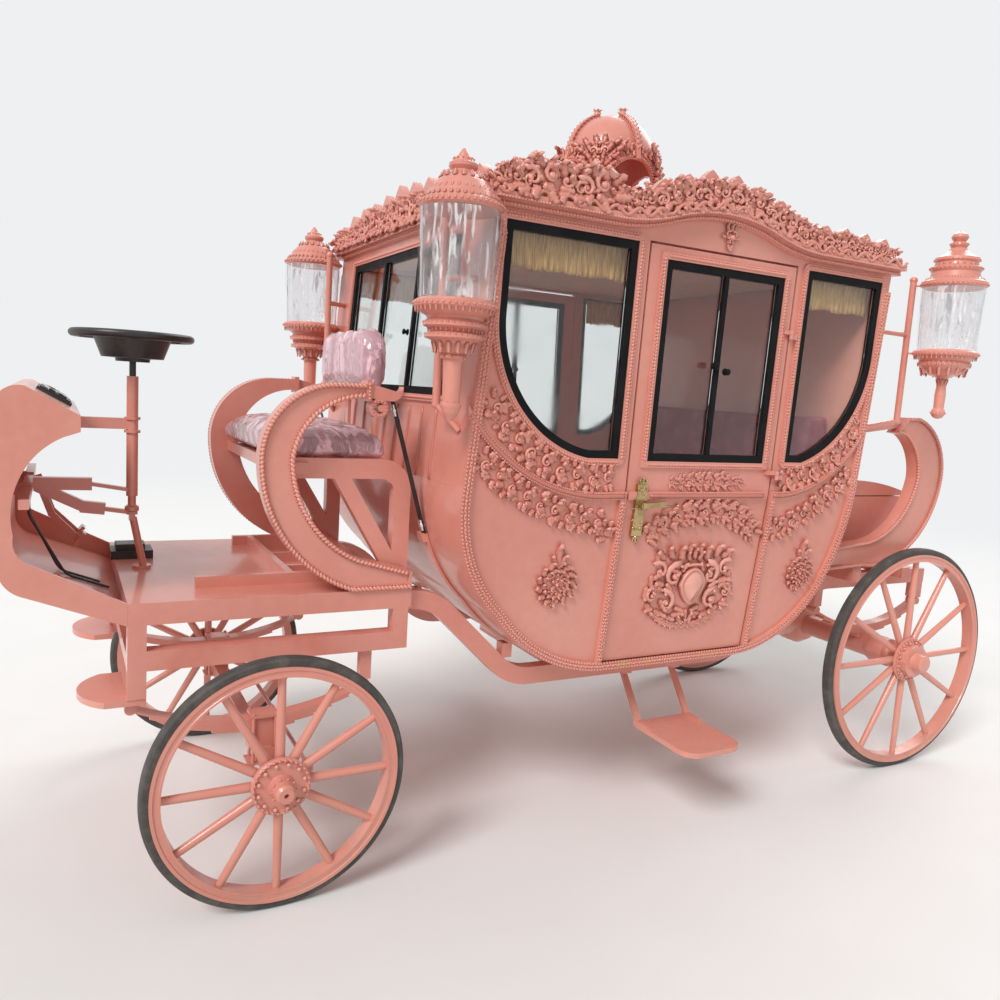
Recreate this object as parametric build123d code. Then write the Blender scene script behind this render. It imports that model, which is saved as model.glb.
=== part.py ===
from build123d import *
import os
from math import atan2, cos, degrees, hypot, pi, radians, sin, sqrt

# Self-propelled wedding carriage, millimetres, +X forward, +Y to its left, +Z up.
# While it is drawn, x = 0 is the rear axle and z = 0 the ground. At the end every
# piece moves back by origin_x, so that the origin is below the middle of its length.

# Wheels and track
wheelbase = 3241
front_tyre_radius = 450
rear_tyre_radius = 583
half_track = 776
tyre_depth = 30
tyre_width = 52
rim_width = 60
rim_depth = 36
rim_wall = 9
rim_lip = 4
spoke_count = 12
spoke_root_radius = 18
spoke_tip_radius = 14
front_spindle_radius = 25
rear_spindle_radius = 30
running_gap = 0.05
seat_gap = 0.3

# Steering
kingpin_y = 660
kingpin_radius = 12
knuckle_height = 60
knuckle_radius = 24
steering_arm = 130
tie_pin_radius = 8
wheel_ring_radius = 205
wheel_ring_thickness = 15
column_x = 3655
column_radius = 21
column_bottom_z = 1340
column_top_z = 1800
steering_ring_z = 1950

# Front platform
platform_front_x = 3707
platform_rear_x = 2696
seat_half_width = 480
seat_side_gap = 16
scroll_width = 60
platform_half_width = seat_half_width + seat_side_gap + scroll_width
platform_top_z = 1047
beam_height = 71
beam_width = 60
lower_rail_top_z = 885
lower_rail_height = 70
post_foot_z = 718
deck_thickness = 6
tray_wall_height = 42
tray_wall_width = 26

# Cowl
cowl_front_x = 4080
cowl_peak_x = 3998
cowl_peak_z = 1757
dash_tip_x = 3845
dash_tip_z = 1672
dash_tip_height = 52
cowl_sheet = 12
cowl_side = 16

# Coach body, side view and tumblehome
wall = 40
belt_z = 1455
sill_z = 715
sill_half_width = 766
belt_half_width = 850
eave_half_width = 882
front_belt_x = 2650
front_eave_x = 2580
rear_belt_x = 632
rear_eave_x = 582
eave_z = 2455
tub_top_z = 1480
floor_z = 790
moulding_width = 38
moulding_proud = 14
bead_width = 26
cornice_height = 43
cornice_low_proud = 22
cornice_high_proud = 50
cornice_end_proud = 34
arch_front_x = 2110
arch_peak_x = 1590
arch_rear_x = 1070
arch_rise = 85
roof_rise = 150
roof_skin = 25

# Doors and windows
door_front_x = 1926
door_rear_x = 1168
door_bottom_z = 752
door_top_z = 2419
door_gap = 9
door_skin = 10
door_rebate = 12
hinge_y = 887
hinge_radius = 9
hinge_pin_radius = 4
hinge_length = 36
handle_plate = 16
hinge_heights = (1545, 2142)
window_bottom_z = 1593
window_top_z = 2417
door_window_top_z = 2369
frame_width = 30
frame_depth = 26
frame_proud = 4
glass_thickness = 5
glass_inset = 12
mullion_width = 20
front_window_half_width = 640
front_window_bottom_z = 1800
front_window_top_z = 2400

# Lanterns
lantern_x_front = 2732
lantern_x_rear = 168
lantern_y = 905
lantern_glass_bottom_front = 2121
lantern_glass_bottom_rear = 2154
lantern_glass_height = 288
lantern_ring_radius = 142
lantern_glass_low_radius = 124
lantern_glass_high_radius = 134
lantern_glass_wall = 4
pole_radius = 15

# Scrolls, seat, trunk and frame
front_scroll_y = platform_half_width
rear_scroll_y = 680
scroll_rim_proud = 8
scroll_rim_width = 14
seat_tube = 50
seat_rail_z = 1545
seat_rail_height = 76
cushion_overhang = 6
cushion_half_width = seat_half_width + cushion_overhang
cushion_height = 120
backrest_half_width = 385
backrest_bottom_z = 1800
backrest_top_z = 2065
trunk_rear_x = -150
trunk_half_width = 520
trunk_bottom_z = 1040
trunk_top_z = 1400
trunk_lid_rise = 80
trunk_wall = 18
lid_gap = 5
rail_to_seat = 20
rail_y = seat_half_width + rail_to_seat
rail_width = 60
rail_height = 75
rail_low_z = 630
rail_bend = 220
rail_rear_z = 950
rail_rear_x = -430
crown_radius = 235
crown_height = 495
crown_x = 1560
crown_ring = 60
crown_skin = 16
crown_top_radius = 78
crown_tip_radius = 17
rib_count = 4
rib_width = 24
rib_proud = 12
arch_width = 250
arch_spring = 148
plinth_height = 22
step_tread_z = 392
cable_radius = 4.5
cable_bend = 70
bench_board = 18
spring_width = 60
leaf_thickness = 9
leaf_count = 5

roof_top_z = eave_z + cornice_height + roof_rise
origin_x = (cowl_front_x - rear_tyre_radius) / 2
front_axle_x = wheelbase
tilt = (eave_half_width - belt_half_width) / (eave_z - belt_z)


def outline(*edges):
    """A face from edges drawn end to end."""
    return make_face([edge for piece in edges for edge in piece.edges()])


def polygon(points):
    return make_face(Polyline(*points, close=True).edges())


def side_plate(face, y_low, y_high):
    """A plate from an outline drawn in the side view, x across and z up."""
    return Pos(0, y_high, 0) * extrude(Plane.XZ * face, amount=y_high - y_low)


def cross_plate(face, x_low, x_high):
    """A plate from an outline drawn in the front view, y across and z up."""
    return Pos(x_low, 0, 0) * extrude(Plane.YZ * face, amount=x_high - x_low)


def block(x, y, z):
    """A box from its low and high values along each axis."""
    return Pos(sum(x) / 2, sum(y) / 2, sum(z) / 2) * Box(x[1] - x[0], y[1] - y[0], z[1] - z[0])


def rod(start, end, radius):
    """A round bar between two points."""
    line = Vector(*end) - Vector(*start)
    plane = Plane(origin=start, z_dir=line)
    return extrude(plane * Circle(radius), amount=line.length)


def bar(start, end, across, height):
    """A flat bar between two points, its width level and its height upright."""
    line = Vector(*end) - Vector(*start)
    level = Vector(0, 0, 1).cross(line)
    plane = Plane(origin=start, x_dir=level, z_dir=line)
    return extrude(plane * Rectangle(across, height), amount=line.length)


def turned(points):
    """A round piece from (radius, height) points, standing on z."""
    return revolve(Plane.XZ * polygon(points), Axis.Z)


def turned_on_y(points):
    """A round piece from (radius, y) points, its axis along y."""
    return revolve(polygon(points), Axis.Y)


def both_sides(piece):
    return piece + mirror(piece, about=Plane.XZ)


def fused(pieces):
    pieces = list(pieces)
    whole = pieces[0]
    for piece in pieces[1:]:
        whole = whole + piece
    return whole


nodes = {}


def keep(name, piece):
    nodes[name] = piece


# Tumblehome: the side's outer face leans in below the belt and slightly out above it.
def side_y(z):
    if z < belt_z:
        return sill_half_width + (belt_half_width - sill_half_width) * (z - sill_z) / (belt_z - sill_z)
    return belt_half_width + tilt * (z - belt_z)


section_heights = (sill_z - 60, belt_z, eave_z + arch_rise + cornice_height + 40)
body_reach = (rear_eave_x - 100, front_belt_x + 100)


def side_skin(face, inner, outer):
    """A layer of the left side inside an outline, from inner below its face to outer above it."""
    section = polygon(
        [(side_y(z) + outer, z) for z in section_heights]
        + [(side_y(z) - inner, z) for z in reversed(section_heights)]
    )
    return cross_plate(section, *body_reach) & side_plate(face, 500, 1100)


def between_sides(inset, x_low=body_reach[0], x_high=body_reach[1]):
    """What lies between the two side faces, each moved in by inset."""
    left = [(side_y(z) - inset, z) for z in section_heights]
    right = [(-y, z) for y, z in reversed(left)]
    return cross_plate(polygon(left + right), x_low, x_high)


def front_x(z):
    return front_belt_x + (front_eave_x - front_belt_x) * (z - belt_z) / (eave_z - belt_z)


def rear_x(z):
    return rear_belt_x + (rear_eave_x - rear_belt_x) * (z - belt_z) / (eave_z - belt_z)


# Side outline of the body: two arcs up to the front, two up to the back.
front_curve = ((1950, sill_z), (2265, 815), (2454, 985), (2600, 1190), (front_belt_x, belt_z))
rear_curve = ((rear_belt_x, belt_z), (668, 1190), (744, 1000), (930, 805), (1230, sill_z))


def body_outline(top=0.0, swell=0.0):
    """The body's side outline. The top follows the door's arch, raised by top."""
    f0, f1, f2, f3, f4 = front_curve
    r0, r1, r2, r3, r4 = rear_curve
    face = outline(
        Line(r4, f0),
        ThreePointArc(f0, f1, f2),
        ThreePointArc(f2, f3, f4),
        Line(f4, (front_x(eave_z + top), eave_z + top)),
        *arch_line(eave_z + top, front_x(eave_z + top), rear_x(eave_z + top)),
        Line((rear_x(eave_z + top), eave_z + top), r0),
        ThreePointArc(r0, r1, r2),
        ThreePointArc(r2, r3, r4),
    )
    if swell:
        face = offset(face, amount=swell, kind=Kind.ARC)
    return face


def arch_line(z, x_front, x_back):
    """The eave line from front to back, which rises over the door in four arcs."""
    foot_front, foot_back = (arch_front_x, z), (arch_rear_x, z)
    peak = (arch_peak_x, z + arch_rise)
    half_front = ((arch_front_x + arch_peak_x) / 2, z + arch_rise / 2)
    half_back = ((arch_rear_x + arch_peak_x) / 2, z + arch_rise / 2)
    return (
        Line((x_front, z), foot_front),
        TangentArc(foot_front, half_front, tangent=(-1, 0)),
        TangentArc(peak, half_front, tangent=(1, 0)),
        TangentArc(peak, half_back, tangent=(-1, 0)),
        TangentArc(foot_back, half_back, tangent=(1, 0)),
        Line(foot_back, (x_back, z)),
    )


def arch_height(x):
    """How far the eave line has risen at x."""
    run = arch_front_x - arch_peak_x if x > arch_peak_x else arch_peak_x - arch_rear_x
    foot = arch_front_x - x if x > arch_peak_x else x - arch_rear_x
    if foot <= 0:
        return 0
    bend = (run * run + arch_rise * arch_rise) / (4 * arch_rise)
    if foot < run / 2:
        return bend - sqrt(bend * bend - foot * foot)
    return arch_rise - (bend - sqrt(bend * bend - (run - foot) ** 2))


# Wheels: a channel rim, twelve tapered spokes and a turned hub. The outer side is +y.
def rim_piece(tyre_radius):
    lip = tyre_radius - tyre_depth
    seat = lip - rim_depth + rim_wall
    inner = lip - rim_depth
    half = rim_width / 2
    points = [
        (inner, -half), (lip, -half), (lip, rim_wall - half), (seat, rim_wall - half),
        (seat, half - rim_wall), (lip, half - rim_wall), (lip, half + rim_lip),
        (lip - 11, half + rim_lip), (lip - 13, half), (inner + 9, half), (inner + 7, half + rim_lip / 2),
        (inner, half + rim_lip / 2),
    ]
    return turned_on_y(points)


def tyre_piece(tyre_radius):
    lip = tyre_radius - tyre_depth + seat_gap
    root = lip - rim_depth + rim_wall
    half = tyre_width / 2
    neck = rim_width / 2 - rim_wall - seat_gap
    points = [
        (root, -neck), (lip, -neck), (lip, -half), (tyre_radius - 10, -half), (tyre_radius - 2, 8 - half),
        (tyre_radius, 0), (tyre_radius - 2, half - 8), (tyre_radius - 10, half), (lip, half),
        (lip, neck), (root, neck),
    ]
    return turned_on_y(points)


def spokes(tyre_radius, hub_radius):
    reach = tyre_radius - tyre_depth - rim_depth + 3
    start = hub_radius - 8
    spoke = Pos(0, 0, (start + reach) / 2) * Cone(spoke_root_radius, spoke_tip_radius, reach - start)
    return [Rot(0, 360 * i / spoke_count, 0) * spoke for i in range(spoke_count)]


def front_hub():
    bore = front_spindle_radius + running_gap
    return turned_on_y([
        (bore, -50), (50, -50), (58, -40), (58, 20), (102, 20), (102, 33), (95, 39), (84, 33), (46, 36),
        (42, 48), (34, 98), (26, 108), (8, 108), (8, 90), (0, 90), (0, 40), (bore, 40),
    ])


def rear_hub():
    bore = rear_spindle_radius + running_gap
    barrel = turned_on_y([
        (bore, -52), (60, -52), (68, -40), (68, 20), (114, 20), (114, 30), (96, 36), (0, 36), (0, 34), (bore, 34),
    ])
    drum = Pos(0, 70, 0) * extrude(Plane.XZ * RegularPolygon(84, 12), amount=36)
    nose = turned_on_y([(0, 68), (50, 68), (46, 84), (44, 118), (34, 124), (0, 124)])
    return barrel + drum + nose


def build_wheels():
    corners = (
        # name, x, tyre radius, hub, hub radius
        ("front", front_axle_x, front_tyre_radius, front_hub(), 58),
        ("rear", 0, rear_tyre_radius, rear_hub(), 68),
    )
    for name, x, radius, hub, hub_radius in corners:
        wheel = fused([rim_piece(radius), hub] + spokes(radius, hub_radius))
        place = Pos(x, half_track, radius)
        keep(f"{name}_wheel_left", place * wheel)
        keep(f"{name}_tyre_left", place * tyre_piece(radius))
        keep(f"{name}_wheel_right", mirror(place * wheel, about=Plane.XZ))
        keep(f"{name}_tyre_right", mirror(place * tyre_piece(radius), about=Plane.XZ))


# Steering knuckles, tie rod and the beam that carries them.
def build_front_axle():
    z = front_tyre_radius
    x = front_axle_x
    half = knuckle_height / 2
    lug = 14
    lug_gap = 0.5
    lug_radius = 26
    beam = block((x - 25, x + 25), (-(kingpin_y - 38), kingpin_y - 38), (z - 28, z + 28))
    yoke = block((x - 25, x + 25), (kingpin_y - 80, kingpin_y - 38), (z - half - lug_gap - lug, z + half + lug_gap + lug))
    ears = []
    for low in (z + half + lug_gap, z - half - lug_gap - lug):
        ears.append(block((x - lug_radius, x + lug_radius), (kingpin_y - 80, kingpin_y), (low, low + lug)))
        ears.append(Pos(x, kingpin_y, low + lug / 2) * Cylinder(lug_radius, lug))
    pin = Pos(x, kingpin_y, z) * Cylinder(kingpin_radius, knuckle_height + 2 * lug_gap + 2 * lug + 8)
    pad_top = front_spring_low_z() - (leaf_count - 1) * leaf_thickness
    pad = block((x - 55, x + 55), (rail_y - spring_width / 2, rail_y + spring_width / 2), (z + 20, pad_top))
    plate = block((x - 60, x + 60), (rail_y - 42, rail_y + 42), (z - 36, z - 28))
    side = fused([yoke] + ears + [pin, pad, plate])
    bolts = fused(
        rod((x + dx, rail_y + dy, z - 46), (x + dx, rail_y + dy, pad_top + 66), 6)
        for dx in (-40, 40) for dy in (-36, 36)
    )
    clamps = block((x - 50, x + 50), (rail_y - 42, rail_y + 42), (pad_top + 49, pad_top + 60))
    keep("front_axle", beam + both_sides(side + bolts + clamps))

    barrel = Pos(x, kingpin_y, z) * Cylinder(knuckle_radius, knuckle_height)
    spindle = rod((x, kingpin_y, z), (x, half_track + 39, z), front_spindle_radius)
    flange = rod((x, kingpin_y + 32, z), (x, kingpin_y + 46, z), 46)
    arm_low = z - half
    arm = block((x - steering_arm, x), (kingpin_y - 13, kingpin_y + 13), (arm_low, arm_low + 14))
    eye = Pos(x - steering_arm, kingpin_y, arm_low + 7) * Cylinder(19, 14)
    tie_pin = Pos(x - steering_arm, kingpin_y, arm_low + 24) * Cylinder(tie_pin_radius, 34)
    bore = Pos(x, kingpin_y, z) * Cylinder(kingpin_radius + running_gap, knuckle_height + 40)
    knuckle = barrel + spindle + flange + arm + eye + tie_pin - bore
    keep("knuckle_left", knuckle)
    keep("knuckle_right", mirror(knuckle, about=Plane.XZ))

    rod_z = arm_low + 14 + seat_gap + 9
    tie = rod((x - steering_arm, -kingpin_y + 12, rod_z), (x - steering_arm, kingpin_y - 12, rod_z), 8.5)
    for sign, gap in ((1, running_gap), (-1, seat_gap)):
        place = Pos(x - steering_arm, sign * kingpin_y, rod_z)
        tie = tie + place * Cylinder(18, 18) - place * Cylinder(tie_pin_radius + gap, 40)
    keep("tie_rod", tie)


# Leaf springs: each leaf is a band of one arc, and each lower leaf is shorter.
def leaf_pack(x_front, x_back, eye_z, low_z):
    chord = x_front - x_back
    sag = eye_z - low_z
    bend = (chord * chord / 4 + sag * sag) / (2 * sag)
    mid_x = (x_front + x_back) / 2
    centre_z = low_z + bend
    half_angle = atan2(chord / 2, bend - sag)
    leaves = []
    for i in range(leaf_count):
        inner = bend + i * leaf_thickness
        outer = inner + leaf_thickness
        span = half_angle * (1 - i / (leaf_count + 1.0))
        ends = []
        for radius, sign in ((inner, -1), (inner, 1), (outer, 1), (outer, -1)):
            ends.append((mid_x + sign * radius * sin(span), centre_z - radius * cos(span)))
        leaves.append(outline(
            ThreePointArc(ends[0], (mid_x, centre_z - inner), ends[1]),
            Line(ends[1], ends[2]),
            ThreePointArc(ends[2], (mid_x, centre_z - outer), ends[3]),
            Line(ends[3], ends[0]),
        ))
    low, high = rail_y - spring_width / 2, rail_y + spring_width / 2
    pack = fused(side_plate(leaf, low, high) for leaf in leaves)
    for x in (x_front, x_back):
        pack = pack + rod((x, low, eye_z), (x, high, eye_z), 20)
    return pack


def front_spring_low_z():
    return front_spring["low_z"] - leaf_thickness


front_spring = {"x_front": 3694, "x_back": 2862, "eye_z": 675, "low_z": 588}
rear_spring = {"x_front": 400, "x_back": -400, "eye_z": 800, "low_z": 695}


def spring_flat(spring, x, pad_half):
    """The flat seat that fills out the curve of a pack above its axle pad."""
    bottom = spring["low_z"] - leaf_count * leaf_thickness
    low, high = rail_y - spring_width / 2, rail_y + spring_width / 2
    return block((x - pad_half, x + pad_half), (low, high), (bottom, bottom + 24))


def build_springs():
    packs = []
    for spring, x in ((front_spring, front_axle_x), (rear_spring, 0)):
        pack = leaf_pack(spring["x_front"], spring["x_back"], spring["eye_z"], spring["low_z"])
        packs.append(pack + spring_flat(spring, x, 55))
    keep("leaf_springs", both_sides(fused(packs)))


def build_rear_axle():
    z = rear_tyre_radius
    tube = turned_on_y([(0, 0), (58, 0), (58, 560), (74, 600), (74, 690), (50, 696), (50, 716), (0, 716)])
    spindle = rod((0, 700, 0), (0, half_track + 33, 0), rear_spindle_radius)
    pad_top = rear_spring["low_z"] - leaf_count * leaf_thickness - z
    pad = block((-55, 55), (rail_y - 32, rail_y + 32), (40, pad_top))
    half = Pos(0, 0, z) * (tube + spindle + pad)
    carrier = Pos(0, 40, z) * turned_on_y([(0, -110), (92, -90), (122, -40), (122, 40), (92, 90), (0, 110)])
    motor = Pos(215, 40, z + 20) * (Rot(0, 90, 0) * Cylinder(95, 300))
    keep("rear_axle", both_sides(half) + carrier + motor)


# Chassis: two rails that drop in a gooseneck, run under the body and rise to the rear.
def rail_path():
    points = [
        (platform_rear_x + 4, 1000), (2585, 990), (2212, rail_low_z), (1010, rail_low_z), (520, rail_rear_z - 40), (360, rail_rear_z), (rail_rear_x, rail_rear_z),
    ]
    return FilletPolyline(*[Vector(x, 0, z) for x, z in points], radius=rail_bend)


def build_chassis():
    path = rail_path()
    start = Plane(origin=path @ 0, x_dir=(0, 1, 0), z_dir=path % 0)
    rail = Pos(0, rail_y, 0) * sweep(start * Rectangle(rail_width, rail_height), path=path)
    cross = []
    for x, z in ((1900, rail_low_z), (1500, rail_low_z), (1100, rail_low_z), (rail_rear_x + 30, rail_rear_z)):
        cross.append(block((x - 30, x + 30), (-rail_y, rail_y), (z - 30, z + 30)))
    rear_top = rail_rear_z + rail_height / 2
    for x in (-60, 320):
        cross.append(block((x - 30, x + 30), (-rear_scroll_y, rear_scroll_y), (rear_top - 4, trunk_bottom_z)))
    for x in (1250, 1880):
        cross.append(block((x - 45, x + 45), (-rail_y - 20, rail_y + 20), (rail_low_z + 30, sill_z - seat_gap)))
    hangers = []
    for x in (rear_spring["x_front"], rear_spring["x_back"]):
        top = rail_rear_z - 10
        low = rear_spring["eye_z"] + 20
        hangers.append(block((x - 26, x + 26), (rail_y - 30, rail_y + 30), (low, top)))
    band = body_outline(swell=12) - body_outline(swell=2)
    iron = band & polygon([(2215, 700), (2700, 700), (2700, 1262), (2215, 1262)])
    lug = (body_outline(swell=28) - body_outline(swell=2)) & polygon([(2400, 1226), (2700, 1226), (2700, 1262), (2400, 1262)])
    iron = side_plate(iron + lug, rail_y - 25, rail_y + 25)
    seat = block((2215, 2262), (rail_y - 25, rail_y + 25), (720, 782))
    frame = fused([both_sides(fused([rail, iron, seat] + hangers))] + cross)
    keep("chassis_frame", frame - block((platform_rear_x - seat_gap, 2800), (-600, 600), (900, 1100)))


# Front platform: box beams on four posts, with lower rails, steps and the axle hangers.
def build_platform():
    outer = platform_half_width
    inner = outer - beam_width
    top, low = platform_top_z, platform_top_z - beam_height
    front, rear = platform_front_x, platform_rear_x
    rail_top, rail_low = lower_rail_top_z, lower_rail_top_z - lower_rail_height
    side = [
        block((rear, front), (inner, outer), (low, top)),
        block((front - beam_width, front), (inner, outer), (post_foot_z, low)),
        block((rear + 10, front - beam_width), (inner, outer), (rail_low, rail_top)),
        block((rear + 10, rear + 70), (inner, outer), (rail_top, low)),
    ]
    x_eye, z_eye = front_spring["x_back"], front_spring["eye_z"]
    side.append(block((x_eye - 22, x_eye + 22), (rail_y - 4, rail_y + 34), (z_eye + 20, rail_low)))
    edge, back = outer - 4, front - beam_width
    tongue = outline(
        Line((back, edge), (front + 70, edge)),
        ThreePointArc((front + 70, edge), (front + 150, (250 + outer) / 2), (front + 70, 250)),
        Line((front + 70, 250), (front, 250)),
        Line((front, 250), (front, inner - 80)),
        Line((front, inner - 80), (back, inner - 80)),
        Line((back, inner - 80), (back, edge)),
    )
    side.append(Pos(0, 0, post_foot_z - 22) * extrude(tongue, amount=22))
    cross = []
    for x in (rear + 30, 3200, front - 30):
        cross.append(block((x - 30, x + 30), (-inner, inner), (low, top)))
    cross.append(block((front - beam_width, front), (-inner, inner), (rail_low, rail_low + 50)))
    keep("front_subframe", both_sides(fused(side)) + fused(cross))

    plate_top = top + deck_thickness
    plate = block((rear, front), (-outer, outer), (top, plate_top))
    well = block((2790, 3110), (-400, 360), (top - 30, plate_top + 1))
    ribs = [
        # x low, x high, y low, y high
        (2760, 3470, 360, 360 + tray_wall_width),
        (2760, 3200, -400 - tray_wall_width, -400),
        (3110, 3110 + tray_wall_width, -400, 360),
        (2764, 2790, -400, 360),
    ]
    frames = [block(r[:2], r[2:], (plate_top - 1, plate_top + tray_wall_height)) for r in ribs]
    floor = block((2790, 3110), (-400, 360), (top - 30, top - 24))
    slats = [block((2790, 3110), (y - 12, y + 12), (top - 25, plate_top + 12)) for y in (-150, 110)]
    lips = [
        block((2784, 3116), (-406, -400), (top - 30, top + 1)), block((2784, 3116), (360, 366), (top - 30, top + 1)),
        block((2784, 2790), (-400, 360), (top - 30, top + 1)), block((3110, 3116), (-400, 360), (top - 30, top + 1)),
    ]
    hollow = block((3170, 3230), (-500, 500), (low - 1, top - 0.5))
    keep("deck", (plate - well + fused(frames) + floor + fused(slats) + fused(lips)) - hollow)


# Cowl: a bent sheet between two C-shaped side plates.
def build_cowl():
    front, top = cowl_front_x, cowl_peak_z
    base_x, base_z = platform_front_x + seat_gap, platform_top_z - beam_height
    tip_low = dash_tip_z - dash_tip_height

    def shell_face(inset):
        return outline(
            Line((base_x, base_z + inset), (4005 - inset * 0.3, 1092 + inset)),
            ThreePointArc((4005 - inset * 0.3, 1092 + inset), (4058 - inset * 0.7, 1128 + inset * 0.7), (front - inset, 1195)),
            Line((front - inset, 1195), (front - inset, 1705)),
            ThreePointArc((front - inset, 1705), (4058 - inset * 0.8, 1742 - inset * 0.8), (cowl_peak_x, top - inset)),
            Line((cowl_peak_x, top - inset), (dash_tip_x, dash_tip_z - inset)),
            Line((dash_tip_x, dash_tip_z - inset), (dash_tip_x - 60, dash_tip_z - 30 - inset)),
            Line((dash_tip_x - 60, dash_tip_z - 30 - inset), (base_x - 80, base_z + inset - 30)),
            Line((base_x - 80, base_z + inset - 30), (base_x, base_z + inset)),
        )

    width = platform_half_width
    sheet = side_plate(shell_face(0) - shell_face(cowl_sheet), -width, width)
    sheet = sheet - block((3400, dash_tip_x), (-700, 700), (1100, 1900)) - block((3400, base_x), (-700, 700), (800, 1100))
    tip = block((dash_tip_x, dash_tip_x + cowl_sheet), (-width, width), (tip_low, dash_tip_z - 6))
    under = side_plate(polygon([
        (dash_tip_x, tip_low), (dash_tip_x + 60, tip_low - 22), (dash_tip_x + 60, tip_low - 10), (dash_tip_x, tip_low + 12),
    ]), -width, width)
    c_plate = outline(
        Line((base_x, base_z), (4005, 1092)),
        ThreePointArc((4005, 1092), (4058, 1128), (front, 1195)),
        Line((front, 1195), (front, 1705)),
        ThreePointArc((front, 1705), (4058, 1742), (cowl_peak_x, top)),
        Line((cowl_peak_x, top), (dash_tip_x, dash_tip_z)),
        Line((dash_tip_x, dash_tip_z), (dash_tip_x, tip_low)),
        ThreePointArc((dash_tip_x, tip_low), (3912, 1592), (3994, 1512)),
        ThreePointArc((3994, 1512), (4030, 1430), (4034, 1290)),
        ThreePointArc((4034, 1290), (4030, 1240), (4006, 1205)),
        Line((4006, 1205), (base_x, platform_top_z + 6)),
        Line((base_x, platform_top_z + 6), (base_x, base_z)),
    )
    plate = side_plate(c_plate, width - cowl_side, width)
    brace = block((3990, front - 6), (-200, -160), (1370, 1410)) + block((3990, front - 6), (160, 200), (1370, 1410))
    cross = block((3990, 4020), (-width + 8, width - 8), (1372, 1404))
    keep("cowl", sheet + tip + under + both_sides(plate) + brace + cross)

    slope = degrees(atan2(cowl_peak_z - dash_tip_z, cowl_peak_x - dash_tip_x))
    mid = ((cowl_peak_x + dash_tip_x) / 2, 90, (cowl_peak_z + dash_tip_z) / 2)
    panel = Box(120, 330, 10) + Pos(0, 0, 7) * Box(104, 314, 6)
    dials = fused(Pos(0, y, 11) * Cylinder(34, 6) for y in (-95, 0))
    switches = fused(Pos(dx, y, 12) * Box(22, 14, 8) for dx in (-24, 14) for y in (70, 100, 130))
    keep("instrument_panel", Pos(*mid) * (Rot(0, -slope, 0) * (Pos(0, 0, 5 + seat_gap) * (panel + dials + switches))))


# Column, its stays to the cowl, the lower shaft with its joint, and the two pedals.
def build_controls():
    x = column_x
    tube = Pos(x, 0, (column_bottom_z + column_top_z) / 2) * Cylinder(column_radius, column_top_z - column_bottom_z)
    socket = Pos(x, 0, column_top_z) * Cylinder(12 + running_gap, 130)
    rings = [Pos(x, 0, z) * Cylinder(column_radius + 8, 10) for z in (1590, 1640)]
    stay_x = dash_tip_x - seat_gap
    stays = [
        block((x, stay_x), (-14, 14), (1598, 1640)),
        bar((x, 0, 1362), (3800, 0, 1386), 26, 14),
        bar((3795, 0, 1386), (3992, 0, 1388), 40, 46),
        bar((x, 0, 1275), (3755, 0, 1290), 24, 16),
        bar((3750, 0, 1290), (3835, 0, 1300), 34, 44),
        bar((3825, 0, 1300), (3992, 0, 1384), 34, 40),
    ]
    yokes = [
        Pos(x, 0, 1325) * Cylinder(15, 50), Pos(x, 0, 1285) * Box(40, 22, 36), Pos(x, 0, 1262) * Box(22, 42, 34),
        Pos(x, 0, 1290) * Cylinder(26, 16),
    ]
    foot = rod((x - 4, 0, 1255), (3590, 0, platform_top_z - 100), 14)
    gear = block((3540, 3640), (-55, 55), (900, 965))
    hole = platform_top_z + deck_thickness
    behind = block((3990 - seat_gap, 4100), (-100, 100), (1200, 1500))
    keep("steering_column", tube - socket + fused(rings + stays + yokes) + foot + gear - behind)
    collar = Pos(3618, 0, hole + 6) * Cylinder(34, 12)
    guard = rod((x - 4, 0, 1255), (3590, 0, platform_top_z - 100), 14 + seat_gap)
    nodes["deck"] = (nodes["deck"] + collar) - guard

    pedals = []
    for y, pad_z in ((-170, 1145), (-290, 1150)):
        arm = bar((3980, y, 1386), (3930, y, 1240), 12, 26) + bar((3932, y, 1246), (3840, y, pad_z), 12, 24)
        pad = Pos(3834, y, pad_z) * (Rot(0, -38, 0) * Box(14, 70, 60))
        pedals.append(arm + pad)
    unit = block((3560, 3720), (-300, -170), (hole, hole + 34)) + block((3590, 3700), (-280, -190), (hole + 30, hole + 58))
    behind = block((3990 - seat_gap, 4100), (-400, 100), (1200, 1500))
    keep("pedals", fused(pedals) - behind)
    keep("floor_pedal", unit)

    wheel_z = steering_ring_z
    ring = Pos(x, 0, wheel_z) * Torus(wheel_ring_radius, wheel_ring_thickness)
    bowl = Pos(x, 0, wheel_z) * turned([
        (0, -12), (132, -4), (136, -12), (110, -82), (62, -84), (60, -96), (0, -96),
    ])
    arms = [
        Pos(x, 0, wheel_z - 8) * (Rot(0, 0, angle) * block((100, wheel_ring_radius), (-18, 18), (-6, 6)))
        for angle in (90, 210, 330)
    ]
    shaft = rod((x, 0, column_top_z - 60), (x, 0, wheel_z - 80), 12)
    keep("steering_wheel", ring + bowl + fused(arms) + shaft)


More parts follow.
